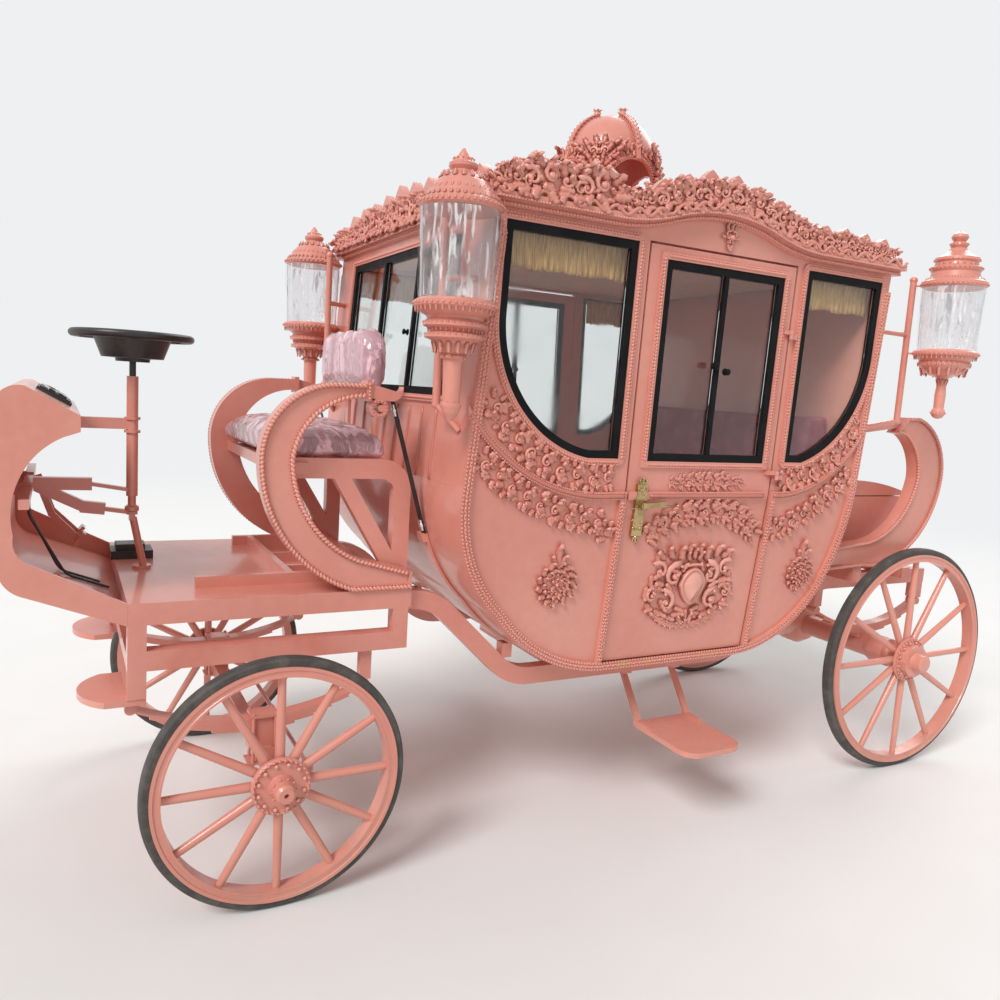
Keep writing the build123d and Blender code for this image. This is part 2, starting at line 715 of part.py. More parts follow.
# Driver's seat: bent tube sides with braces and a rear leg, posts for the back pad, and
# a front rail that reaches the scrolls, which carry it.
def build_seat():
    top = seat_rail_z
    height = seat_rail_height
    frame = outline(
        Line((3150, top), (2800, top)),
        ThreePointArc((2800, top), (2728, top - 32), (2690, top - 110)),
        Line((2690, top - 110), (2690, platform_top_z + deck_thickness)),
        Line((2690, platform_top_z + deck_thickness), (2758, platform_top_z + deck_thickness)),
        Line((2758, platform_top_z + deck_thickness), (2758, top - 120)),
        ThreePointArc((2758, top - 120), (2776, top - 88), (2812, top - height)),
        Line((2812, top - height), (3150, top - height)),
        Line((3150, top - height), (3150, top)),
    )
    brace = polygon([(3000, top - height + 4), (2932, top - height + 4), (2752, 1176), (2752, 1080), (2790, 1120)])
    side = side_plate(frame + brace, seat_half_width - seat_tube, seat_half_width)
    inner = seat_half_width - seat_tube
    cross = [
        block((3082, 3150), (-inner, inner), (top - height, top)),
        block((2740, 2800), (-inner, inner), (top - height, top - 14)),
        block((2900, 2950), (-inner, inner), (top - height, top - 30)),
    ]
    hold = front_scroll_y - scroll_width - seat_gap
    cross.append(block((3100, 3215), (-hold, hold), (top - height + 16, top - 16)))
    low = backrest_bottom_z + 60
    posts = [block((2736, 2750), (y - 20, y + 20), (top - 60, low)) for y in (-190, 190)]
    keep("driver_seat_frame", both_sides(side) + fused(cross + posts))

    base = top + seat_gap
    cushion = block((2764, 3262), (-cushion_half_width, cushion_half_width), (base, base + cushion_height))
    keep("driver_cushion", fillet(cushion.edges().filter_by(Axis.Z), 60))
    low_x = 2750 + seat_gap
    back = block(
        (low_x, low_x + 92), (-backrest_half_width, backrest_half_width), (backrest_bottom_z, backrest_top_z))
    keep("driver_backrest", fillet(back.edges().filter_by(Axis.X), 90))


# C-scrolls: a band between an outer and an inner curve, with raised rims.
def c_scroll(outer_points, inner_points):
    a, b = outer_points, inner_points
    return outline(
        Line(a[0], a[1]), ThreePointArc(a[1], a[2], a[3]), ThreePointArc(a[3], a[4], a[5]), Line(a[5], a[6]),
        Line(a[6], b[6]),
        Line(b[6], b[5]), ThreePointArc(b[5], b[4], b[3]), ThreePointArc(b[3], b[2], b[1]), Line(b[1], b[0]),
        Line(b[0], a[0]),
    )


def scroll_with_rims(face, y):
    plate = side_plate(face, y - scroll_width, y)
    rim = face - offset(face, amount=-scroll_rim_width, kind=Kind.ARC)
    return plate + side_plate(rim, y - 4, y + scroll_rim_proud)


def build_scrolls():
    base = platform_top_z + deck_thickness
    front_outer = ((2700, base), (2935, base), (3171, 1214), (3289, 1530), (3212, 1738), (3009, 1824), (2900, 1826))
    front_inner = ((2700, 1120), (2915, 1176), (3092, 1316), (3168, 1545), (3101, 1694), (2923, 1776), (2900, 1777))
    front = scroll_with_rims(c_scroll(front_outer, front_inner), front_scroll_y)
    tail = outline(
        Line((2905, 1830), (2800, 1806)),
        ThreePointArc((2800, 1806), (2778, 1806), (2768, 1824)),
        Line((2768, 1824), (2768, 1806)),
        ThreePointArc((2768, 1806), (2782, 1780), (2812, 1768)),
        Line((2812, 1768), (2905, 1776)),
        Line((2905, 1776), (2905, 1830)),
    )
    tail = side_plate(tail, front_scroll_y - 50, front_scroll_y)
    curl = Pos(2860, front_scroll_y - 25, 1740) * (Rot(90, 0, 0) * (Cylinder(36, 50) - Cylinder(20, 60)))
    eye = Pos(2852, front_scroll_y - 25, 1740) * (Rot(90, 0, 0) * Cylinder(13, 50))
    link = block((2828, 2844), (front_scroll_y - 50, front_scroll_y), (1734, 1752))
    collar = block((2892, 2912), (front_scroll_y - scroll_width - 6, front_scroll_y + 8), (1764, 1838))
    keep("front_scrolls", both_sides(front + tail + curl + eye + link + collar))

    rear_outer = ((590, 1056), (300, 1064), (-128, 1226), (-247, 1530), (-172, 1730), (-10, 1828), (70, 1826))
    rear_inner = ((600, 1158), (330, 1186), (44, 1320), (-46, 1520), (-14, 1640), (90, 1738), (150, 1746))
    rear = scroll_with_rims(c_scroll(rear_outer, rear_inner), rear_scroll_y)
    stay = bar((60, rear_scroll_y - 30, 1790), (rear_x(1720) + 30, rear_scroll_y - 30, 1716), 30, 22)
    trim = block((290, 350), (rear_scroll_y - scroll_width, rear_scroll_y), (trunk_bottom_z + seat_gap, 1075))
    clear = side_plate(body_outline(swell=seat_gap), -1000, 1000)
    keep("rear_scrolls", both_sides((rear + stay + trim) - clear))


# Coach body.
def build_tub():
    outer = body_outline()
    inner = body_outline(swell=-wall)
    shell = outer - inner
    low = shell & polygon([(0, 500), (3200, 500), (3200, tub_top_z), (0, tub_top_z)])
    floor = inner & polygon([(0, floor_z - 25), (3200, floor_z - 25), (3200, floor_z), (0, floor_z)])
    sides = between_sides(wall + seat_gap)
    keep("coach_tub", (side_plate(low, -1000, 1000) + side_plate(floor, -1000, 1000)) & sides)

    bench = inner & polygon([(0, floor_z + seat_gap), (1090, floor_z + seat_gap), (1090, 1180), (0, 1180)])
    bench = offset(bench, amount=-seat_gap, kind=Kind.ARC)
    hollow = offset(bench, amount=-bench_board, kind=Kind.ARC)
    hollow = hollow + polygon([(800, floor_z - 10), (1060, floor_z - 10), (1060, floor_z + 40), (800, floor_z + 40)])
    box = side_plate(bench, -1000, 1000) & between_sides(wall + 2)
    keep("rear_bench", box - (side_plate(hollow, -1000, 1000) & between_sides(wall + 2 + bench_board)))
    seat = block((722, 1110), (-735, 735), (1180, 1180 + cushion_height))
    seat = fillet(seat.edges().filter_by(Axis.Z), 40)
    seat_top = 1180 + cushion_height + seat_gap
    tilt_line = polygon([(690, seat_top), (850, seat_top), (820, 1830), (660, 1830)])
    keep("bench_cushions", seat + side_plate(tilt_line, -735, 735))


def end_band(edge_x, direction, inner, outer, z_low, z_high, half_width):
    """A layer of the front (direction 1) or rear (-1) wall, which leans as edge_x says."""
    face = polygon([
        (edge_x(z_low) - direction * inner, z_low), (edge_x(z_low) + direction * outer, z_low),
        (edge_x(z_high) + direction * outer, z_high), (edge_x(z_high) - direction * inner, z_high),
    ])
    return side_plate(face, -half_width, half_width)


def front_window_face(grow):
    low, high = front_window_bottom_z - grow, front_window_top_z + grow
    half = front_window_half_width + grow
    return polygon([(-half, low), (half, low), (half, high), (-half, high)])


def through_front(face):
    return cross_plate(face, front_eave_x - 200, front_belt_x + 100)


def build_end_walls():
    low = tub_top_z + seat_gap
    sides = between_sides(wall + seat_gap)
    front = end_band(front_x, 1, wall, 0, low, eave_z, 1000) & sides
    front = front - through_front(front_window_face(0))
    ring = through_front(front_window_face(bead_width) - front_window_face(0))
    front = front + (end_band(front_x, 1, 4, 10, low, eave_z, 1000) & ring)
    rear = end_band(rear_x, -1, wall, 0, low, eave_z, 1000) & sides
    keep("end_walls", front + rear)


def grown(face, amount):
    return offset(face, amount=amount, kind=Kind.ARC) if amount else face


def front_quarter_face(grow):
    """The front quarter light, its lower front corner swept up in one arc."""
    top, low = window_top_z, window_bottom_z + 7
    front, back = 2553, 1988
    return grown(outline(
        Line((back, low), (2130, low)),
        ThreePointArc((2130, low), (2437, 1775), (front, 2120)),
        Line((front, 2120), (front - 2, top)),
        Line((front - 2, top), (back, top)),
        Line((back, top), (back, low)),
    ), grow)


def rear_quarter_face(grow):
    top, low = window_top_z, window_bottom_z + 7
    front, back = 1103, 640
    return grown(outline(
        Line((front, low), (1000, low)),
        ThreePointArc((1000, low), (737, 1788), (back, 2110)),
        Line((back, 2110), (back, top)),
        Line((back, top), (front, top)),
        Line((front, top), (front, low)),
    ), grow)


def door_window_face(grow):
    low, high = window_bottom_z - grow, door_window_top_z + grow
    front, back = 1850 + grow, 1230 - grow
    return polygon([(back, low), (front, low), (front, high), (back, high)])


def door_face(grow):
    low, high = door_bottom_z - grow, door_top_z + grow
    return polygon([
        (door_rear_x - grow, low), (door_front_x + grow, low), (door_front_x + grow, high), (door_rear_x - grow, high),
    ])


def belt_face():
    """The belt moulding, level over the door and swept up to both corners."""
    half = moulding_width / 2 - 3
    front_end, rear_end = (front_belt_x - 2, 1760), (rear_belt_x - 4, 1750)
    return outline(
        ThreePointArc((front_end[0], front_end[1] + half), (2350, 1515 + half), (2010, belt_z + half)),
        Line((2010, belt_z + half), (1090, belt_z + half)),
        ThreePointArc((1090, belt_z + half), (800, 1560 + half), (rear_end[0], rear_end[1] + half)),
        Line((rear_end[0], rear_end[1] + half), (rear_end[0], rear_end[1] - half)),
        ThreePointArc((rear_end[0], rear_end[1] - half), (805, 1560 - half), (1090, belt_z - half)),
        Line((1090, belt_z - half), (2010, belt_z - half)),
        ThreePointArc((2010, belt_z - half), (2345, 1515 - half), (front_end[0], front_end[1] - half)),
        Line((front_end[0], front_end[1] - half), (front_end[0], front_end[1] + half)),
    )


def handle_plate_face(grow):
    return polygon([
        (1838 - grow, 1290 - grow), (1886 + grow, 1290 - grow), (1886 + grow, 1500 + grow), (1838 - grow, 1500 + grow)])


def hinge_leaf(z_low, z_high, reach):
    """A strap from the body's face out to the hinge line; reach is to the front or the back."""
    y_low = side_y(z_low) - 4
    x_low, x_high = sorted((door_rear_x - 3, door_rear_x - 3 + reach))
    return block((x_low, x_high), (y_low, hinge_y), (z_low, z_high))


def build_sides():
    hinge_x = door_rear_x - 3
    outer = body_outline()
    rim = outer - body_outline(swell=-moulding_width)
    rim = (rim & polygon([(0, 500), (3200, 500), (3200, 2380), (0, 2380)])) - door_face(door_gap)
    rim = rim - front_quarter_face(0) - rear_quarter_face(0)
    panel_face = outer - door_face(door_gap) - front_quarter_face(0) - rear_quarter_face(0)
    panel = side_skin(panel_face, wall, 0)
    raised = [side_skin(rim, 4, moulding_proud), side_skin(belt_face() - door_face(door_gap), 4, moulding_proud)]
    for light in (front_quarter_face, rear_quarter_face):
        raised.append(side_skin((light(bead_width) - light(0)) & outer, 4, 9))
    for x in (door_front_x + door_gap, door_rear_x - door_gap - bead_width):
        strip = polygon([(x, sill_z + 12), (x + bead_width, sill_z + 12), (x + bead_width, belt_z), (x, belt_z)])
        raised.append(side_skin(strip, 4, moulding_proud))
    fixed = panel + fused(raised)
    clear = []
    for z in hinge_heights:
        half = hinge_length / 2
        clear.append(Pos(hinge_x, hinge_y, z + half / 2 + 0.5) * Cylinder(hinge_radius + 6, half + 2))
    fixed = fixed - fused(clear)
    for z in hinge_heights:
        half = hinge_length / 2
        fixed = fixed + Pos(hinge_x, hinge_y, z - half / 2) * Cylinder(hinge_radius, half)
        fixed = fixed + hinge_leaf(z - half, z, -34)
        fixed = fixed + Pos(hinge_x, hinge_y, z + half / 2 - 2) * Cylinder(hinge_pin_radius, half)
    keep("side_panel_left", fixed)
    keep("side_panel_right", mirror(fixed, about=Plane.XZ))

    hole = door_window_face(0)
    narrow = polygon([
        (door_rear_x + 2, door_bottom_z), (door_front_x - door_rebate, door_bottom_z),
        (door_front_x - door_rebate, door_top_z), (door_rear_x + 2, door_top_z),
    ])
    door = side_skin(door_face(0) - hole, door_skin, 0) + side_skin(narrow - hole, wall, -door_skin + 1)
    belt = belt_face() & polygon([
        (door_rear_x + 30, 1300), (door_front_x - 2, 1300), (door_front_x - 2, 1600), (door_rear_x + 30, 1600)])
    belt = belt - handle_plate_face(seat_gap)
    door = door + side_skin(belt, 4, moulding_proud) + side_skin(door_window_face(bead_width) - hole, 4, 9)
    for z in hinge_heights:
        half = hinge_length / 2
        place = Pos(hinge_x, hinge_y, z + half / 2 + 0.5)
        door = door + place * Cylinder(hinge_radius, half - 1) + hinge_leaf(z + 1, z + half, 40)
        door = door - place * Cylinder(hinge_pin_radius + running_gap, half * 3)
    keep("door_left", door)
    keep("door_right", mirror(door, about=Plane.XZ))


def window_ring(face_of):
    return side_skin(face_of(-seat_gap) - face_of(-frame_width), frame_depth, frame_proud)


def pane(face_of):
    inner = face_of(-frame_width - seat_gap)
    return side_skin(inner, glass_inset + glass_thickness, -glass_inset)


def build_windows():
    frames = [window_ring(front_quarter_face), window_ring(rear_quarter_face)]
    panes = [pane(front_quarter_face), pane(rear_quarter_face)]
    front_ring = through_front(front_window_face(-seat_gap) - front_window_face(-frame_width))
    bars = []
    for y in (-200, 200):
        half = mullion_width / 2
        bars.append(polygon([
            (y - half, front_window_bottom_z + 20), (y + half, front_window_bottom_z + 20),
            (y + half, front_window_top_z - 20), (y - half, front_window_top_z - 20)]))
    band = end_band(front_x, 1, frame_depth, frame_proud, tub_top_z, eave_z, 1000)
    front_frame = band & (front_ring + fused(through_front(b) for b in bars))
    keep("window_frames", both_sides(fused(frames)) + front_frame)
    glass_band = end_band(front_x, 1, glass_inset + glass_thickness, -glass_inset, tub_top_z, eave_z, 1000)
    grown = [offset(b, amount=seat_gap, kind=Kind.INTERSECTION) for b in bars]
    front_pane = front_window_face(-frame_width - seat_gap)
    for b in grown:
        front_pane = front_pane - b
    keep("window_glass", both_sides(fused(panes)) + (glass_band & through_front(front_pane)))

    middle = (1850 + 1230) / 2
    half = mullion_width / 2
    post = polygon([
        (middle - half, window_bottom_z + 20), (middle + half, window_bottom_z + 20),
        (middle + half, door_window_top_z - 20), (middle - half, door_window_top_z - 20)])
    frame = side_skin((door_window_face(-seat_gap) - door_window_face(-frame_width)) + post, frame_depth, frame_proud)
    glass_face = door_window_face(-frame_width - seat_gap) - offset(post, amount=seat_gap, kind=Kind.INTERSECTION)
    glass = side_skin(glass_face, glass_inset + glass_thickness, -glass_inset)
    plate_z = 1395
    lever_y = side_y(plate_z)
    plate = side_skin(handle_plate_face(0), -seat_gap, handle_plate)
    boss = rod((1862, lever_y + 10, plate_z + 22), (1862, lever_y + 46, plate_z + 22), 13)
    lever = bar((1868, lever_y + 42, plate_z + 22), (1752, lever_y + 40, plate_z + 30), 12, 20)
    for side, turn in (("left", False), ("right", True)):
        for name, piece in (("frame", frame), ("glass", glass), ("handle", plate + boss + lever)):
            keep(f"door_{name}_{side}", mirror(piece, about=Plane.XZ) if turn else piece)


# Roof: a pillow-shaped skin inside a stepped cornice that arches over each door.
def cornice_side(z_low, z_high, proud):
    x_front, x_back = front_eave_x + cornice_end_proud - 4, rear_eave_x - cornice_end_proud + 4
    upper = arch_line(z_high, x_front, x_back)
    lower = arch_line(z_low, x_front, x_back)
    face = outline(*upper, *lower, Line((x_front, z_low), (x_front, z_high)), Line((x_back, z_low), (x_back, z_high)))
    return side_plate(face, eave_half_width - wall - 12, eave_half_width + proud)


def cornice_end(z_low, z_high, proud):
    half = eave_half_width + proud
    reach = cornice_end_proud * proud / cornice_high_proud
    front = block((front_eave_x - wall, front_eave_x + reach), (-half, half), (z_low, z_high))
    rear = block((rear_eave_x - reach, rear_eave_x + wall), (-half, half), (z_low, z_high))
    return front + rear


def roof_pillow(drop):
    base = eave_z + seat_gap
    edge = eave_z + cornice_height - drop
    top = edge + roof_rise
    half = eave_half_width - wall - 2
    low = base - (40 if drop else 0)
    across = outline(
        ThreePointArc((-half, edge), (0, top), (half, edge)),
        Line((half, edge), (half, low)), Line((half, low), (-half, low)), Line((-half, low), (-half, edge)),
    )
    x0, x1 = rear_eave_x + wall - 10, front_eave_x - wall + 10
    along = outline(
        ThreePointArc((x0, edge), ((x0 + x1) / 2, top), (x1, edge)),
        Line((x1, edge), (x1, low)), Line((x1, low), (x0, low)), Line((x0, low), (x0, edge)),
    )
    return cross_plate(across, x0, x1) & side_plate(along, -half, half)


def build_roof():
    base = eave_z + seat_gap
    step = base + cornice_height * 0.45
    top = eave_z + cornice_height
    steps = ((base, step, cornice_low_proud), (step, top, cornice_high_proud))
    cornice = fused(both_sides(cornice_side(*s)) + cornice_end(*s) for s in steps)
    skin = roof_pillow(0) - roof_pillow(roof_skin)
    plinth = Pos(crown_x, 0, roof_top_z - plinth_height / 2) * Cylinder(crown_radius + 8, plinth_height)
    keep("roof", cornice + skin + plinth)

    leaf_thickness_y = 34
    y_mid = eave_half_width + 18
    leaves = []
    # x of the leaf, its height, its width and its lean
    side_leaves = (
        (2560, 95, 120, 20), (2440, 150, 150, 30), (2310, 145, 150, 20), (2185, 150, 140, 15), (2055, 72, 140, 0),
        (1925, 130, 130, -10), (1800, 128, 150, 5), (1690, 140, 150, 5), (1570, 135, 150, -5), (1450, 125, 150, -5),
        (1330, 120, 150, -10), (1200, 110, 140, -10), (1070, 105, 140, -15), (950, 110, 130, -15),
        (830, 105, 130, -20), (710, 100, 120, -20),
    )
    for x, height, width, lean in side_leaves:
        base_z = top + arch_height(x)
        leaves.append(side_plate(leaf_face(x, base_z, height, width, lean), y_mid - leaf_thickness_y / 2, y_mid + leaf_thickness_y / 2))
    strip = outline(
        *arch_line(top + 24, front_eave_x + 20, rear_eave_x - 20), *arch_line(top, front_eave_x + 20, rear_eave_x - 20),
        Line((front_eave_x + 20, top), (front_eave_x + 20, top + 24)), Line((rear_eave_x - 20, top), (rear_eave_x - 20, top + 24)),
    )
    side = fused([side_plate(strip, y_mid - leaf_thickness_y / 2, y_mid + leaf_thickness_y / 2)] + leaves)
    ends = []
    # y of the leaf, its height, its width and its lean
    end_leaves = ((-760, 110, 150, -20), (-610, 140, 160, -20), (-460, 150, 160, -15), (-310, 150, 160, -10),
                  (-155, 160, 160, -5), (0, 175, 170, 0), (155, 160, 160, 5), (310, 150, 160, 10), (460, 150, 160, 15),
                  (610, 140, 160, 20), (760, 110, 150, 20))
    for x0 in (front_eave_x + 1, rear_eave_x - 35):
        ends.append(block((x0, x0 + 34), (-y_mid, y_mid), (top, top + 24)))
        for y, height, width, lean in end_leaves:
            ends.append(cross_plate(leaf_face(y, top, height, width, lean), x0, x0 + 34))
    keep("cresting", both_sides(side) + fused(ends) - cornice)


def leaf_face(x, z, height, width, lean):
    """One upright leaf: two arcs up to a tip that leans to one side."""
    half = width / 2
    tip = (x + lean, z + height)
    return outline(
        Line((x - half, z), (x + half, z)),
        ThreePointArc((x + half, z), (x + half * 0.72 + lean * 0.5, z + height * 0.62), tip),
        ThreePointArc(tip, (x - half * 0.72 + lean * 0.5, z + height * 0.62), (x - half, z)),
    )


def crown_profile(radius, height):
    """Half of the dome's outline, from its foot to the middle of its top."""
    shoulder = (radius * 0.93, height * 0.62)
    return (
        ThreePointArc((radius * 0.86, 0), (radius, height * 0.38), shoulder),
        ThreePointArc(shoulder, (radius * 0.6, height * 0.92), (crown_top_radius, height)),
    )


def crown_half(radius, height):
    edges = crown_profile(radius, height)
    return outline(
        *edges, Line((crown_top_radius, height), (0, height)), Line((0, height), (0, 0)), Line((0, 0), (radius * 0.86, 0)))


def build_crown():
    r, h = crown_radius, crown_height - crown_ring
    shell = revolve(Plane.XZ * (crown_half(r, h) - Pos(0, -1, 0) * crown_half(r - crown_skin, h - crown_skin)), Axis.Z)
    shell = Pos(0, 0, crown_ring) * shell
    foot = r * 0.86 + 16
    ring = Pos(0, 0, (crown_ring + 8) / 2) * (Cylinder(foot, crown_ring + 8) - Cylinder(foot - 34, crown_ring + 60))
    half = arch_width / 2
    arch = outline(
        Line((-half, crown_ring + 8), (half, crown_ring + 8)), Line((half, crown_ring + 8), (half, arch_spring)),
        ThreePointArc((half, arch_spring), (0, arch_spring + half), (-half, arch_spring)),
        Line((-half, arch_spring), (-half, crown_ring + 8)))
    cutter = cross_plate(arch, -r - 60, r + 60)
    low, high = crown_profile(r - 6, h - 6), crown_profile(r + rib_proud, h + rib_proud)
    rib = outline(
        *low, *high, Line(low[0] @ 0, high[0] @ 0), Line(low[1] @ 1, high[1] @ 1))
    rib = Pos(0, 0, crown_ring) * side_plate(rib, -rib_width / 2, rib_width / 2)
    tip = Pos(crown_top_radius + 8, 0, crown_height + rib_proud - 4) * Sphere(crown_tip_radius)
    crown = shell + ring
    for i in range(rib_count):
        crown = crown + Rot(0, 0, 360 * i / rib_count) * (rib + tip)
    crown = crown - cutter - Rot(0, 0, 90) * cutter
    keep("crown", Pos(crown_x, 0, roof_top_z + seat_gap) * crown)


# Lanterns: a stepped bowl on a stem, a tapered glass and a tiered cap with a finial.
# Each profile is radius and height: the bowl's from the glass's foot, the cap's from its top.
ring = lantern_ring_radius
front_bowl = (
    (0, 0), (ring - 14, 0), (ring, -10), (ring, -26), (128, -38), (98, -56), (93, -66), (107, -76), (107, -88),
    (88, -96), (82, -106), (100, -114), (100, -126), (76, -136), (58, -158), (36, -178), (44, -184), (44, -192),
    (33, -196), (31, -338), (36, -343), (36, -352), (28, -374), (10, -402), (0, -402),
)
front_cap = (
    (0, 0), (ring - 8, 0), (ring, 8), (ring, 22), (126, 32), (118, 44), (106, 64), (88, 88), (62, 110), (46, 118),
    (40, 126), (48, 138), (48, 148), (36, 156), (32, 166), (20, 172), (16, 182), (6, 197), (0, 197),
)
rear_bowl = (
    (0, 0), (ring - 14, 0), (ring, -10), (ring, -26), (122, -36), (110, -52), (116, -62), (114, -72), (96, -92),
    (66, -114), (34, -126), (26, -132), (20, -156), (25, -210), (23, -273), (31, -286), (32, -302), (20, -318),
    (6, -323), (0, -323),
)
rear_cap = (
    (0, 0), (ring - 8, 0), (ring, 8), (ring, 26), (124, 38), (108, 50), (104, 72), (112, 84), (112, 94), (94, 104),
    (90, 116), (98, 126), (96, 138), (64, 156), (42, 172), (32, 186), (40, 198), (38, 208), (26, 216), (38, 234),
    (32, 248), (12, 260), (4, 266), (0, 266),
)


def lantern(bowl, cap):
    return turned(bowl) + Pos(0, 0, lantern_glass_height) * turned(cap)


def lantern_glass():
    low, high = lantern_glass_low_radius, lantern_glass_high_radius
    top = lantern_glass_height - seat_gap
    return turned([
        (low - lantern_glass_wall, seat_gap), (low, seat_gap), (high, top), (high - lantern_glass_wall, top)])


def build_lamps():
    glasses = []
    lanterns = []
    # x of the lantern, glass bottom, bowl, cap, pole x, pole y, pole bottom, arm height, drop of the foot
    rows = (
        (lantern_x_front, lantern_glass_bottom_front, front_bowl, front_cap, 2702, 712, 1765, 2216, 85),
        (lantern_x_rear, lantern_glass_bottom_rear, rear_bowl, rear_cap, 268, 762, 1800, 2222, 45),
    )
    for x, z, bowl, cap, pole_x, pole_y, pole_low, arm_z, drop in rows:
        edge_x, inside = (front_x, -1) if x == lantern_x_front else (rear_x, 1)
        wall_y = 800
        place = Pos(x, lantern_y, z)
        pole_top = z + lantern_glass_height + 40
        pole = rod((pole_x, pole_y, pole_low), (pole_x, pole_y, pole_top), pole_radius)
        pole = pole + Pos(pole_x, pole_y, pole_top) * Sphere(pole_radius + 3)
        arm = rod((pole_x, pole_y, arm_z), (edge_x(arm_z) - inside * 1, wall_y - 20, arm_z), 11)
        foot_z = pole_low - drop
        foot = rod((pole_x, pole_y, pole_low + 6), (edge_x(foot_z) - inside * 1, wall_y - 20, foot_z), 12)
        knee = Pos(pole_x, pole_y, pole_low + 4) * Sphere(pole_radius)
        reach = hypot(pole_x - x, pole_y - lantern_y)
        clips = []
        for level in (-18, lantern_glass_height + 14):
            share = (lantern_ring_radius - 8) / reach
            tip = (x + (pole_x - x) * share, lantern_y + (pole_y - lantern_y) * share, z + level)
            clips.append(rod((pole_x, pole_y, z + level), tip, 5))
        stand = fused([pole, arm, foot, knee] + clips)
        body = side_plate(body_outline(swell=seat_gap), -1000, 1000) & between_sides(-seat_gap)
        proud = moulding_proud + seat_gap
        room = side_plate(body_outline(swell=proud), -1000, 1000) & between_sides(-proud)
        lanterns.append((place * lantern(bowl, cap) - room) + (stand - body))
        glasses.append(place * lantern_glass())
    keep("lanterns", both_sides(fused(lanterns)))
    keep("lamp_glass", both_sides(fused(glasses)))


# Trunk behind the body, its lid, and the battery inside it.
def build_trunk():
    front = 700
    half = trunk_half_width
    outer = block((trunk_rear_x, front), (-half, half), (trunk_bottom_z + seat_gap, trunk_top_z))
    clear = side_plate(body_outline(swell=1), -1000, 1000)
    body = outer - clear
    back = side_plate(body_outline(swell=1 + trunk_wall), -1000, 1000)
    hollow = block(
        (trunk_rear_x + trunk_wall, front), (-half + trunk_wall, half - trunk_wall),
        (trunk_bottom_z + trunk_wall, trunk_top_z + 10))
    keep("trunk", body - (hollow - back))
    lid_front = rear_x(trunk_top_z) - 22
    lid_low = trunk_top_z + lid_gap
    rear = trunk_rear_x - 8
    lid = outline(
        Line((rear, lid_low), (lid_front - 14, lid_low)), Line((lid_front - 14, lid_low), (lid_front - 14, lid_low + 14)),
        Line((lid_front - 14, lid_low + 14), (lid_front - 60, lid_low + 46)),
        ThreePointArc((lid_front - 60, lid_low + 46), (220, lid_low + trunk_lid_rise), (rear, lid_low + 26)),
        Line((rear, lid_low + 26), (rear, lid_low)),
    )
    inner = outline(
        Line((rear + 14, lid_low - 1), (lid_front - 34, lid_low - 1)), Line((lid_front - 34, lid_low - 1), (lid_front - 72, lid_low + 32)),
        ThreePointArc((lid_front - 72, lid_low + 32), (220, lid_low + trunk_lid_rise - 14), (rear + 14, lid_low + 14)),
        Line((rear + 14, lid_low + 14), (rear + 14, lid_low - 1)),
    )
    shell = side_plate(lid, -half - 4, half + 4) - side_plate(inner, -half + 12, half - 12)
    hinge_x, hinge_z = lid_front, lid_low + 4
    for y in (-360, 360):
        shell = shell + rod((hinge_x, y - 40, hinge_z), (hinge_x, y + 40, hinge_z), 8)
        shell = shell + block((hinge_x - 24, hinge_x), (y - 40, y + 40), (hinge_z, hinge_z + 8))
        shell = shell - rod((hinge_x, y - 60, hinge_z), (hinge_x, y + 60, hinge_z), 4 + running_gap)
        for side in (-1, 1):
            ear = Pos(hinge_x, y + side * 52, hinge_z) * (Rot(90, 0, 0) * Cylinder(8, 22))
            ear = ear + block((hinge_x - 8, hinge_x + 8), (y + side * 52 - 11, y + side * 52 + 11), (hinge_z - 30, hinge_z))
            nodes["trunk"] = nodes["trunk"] + ear
        nodes["trunk"] = nodes["trunk"] + rod((hinge_x, y - 60, hinge_z), (hinge_x, y + 60, hinge_z), 4)
    keep("trunk_lid", shell)
    low = trunk_bottom_z + trunk_wall
    keep("battery_pack", block((-110, 420), (-380, 380), (low, low + 240)))


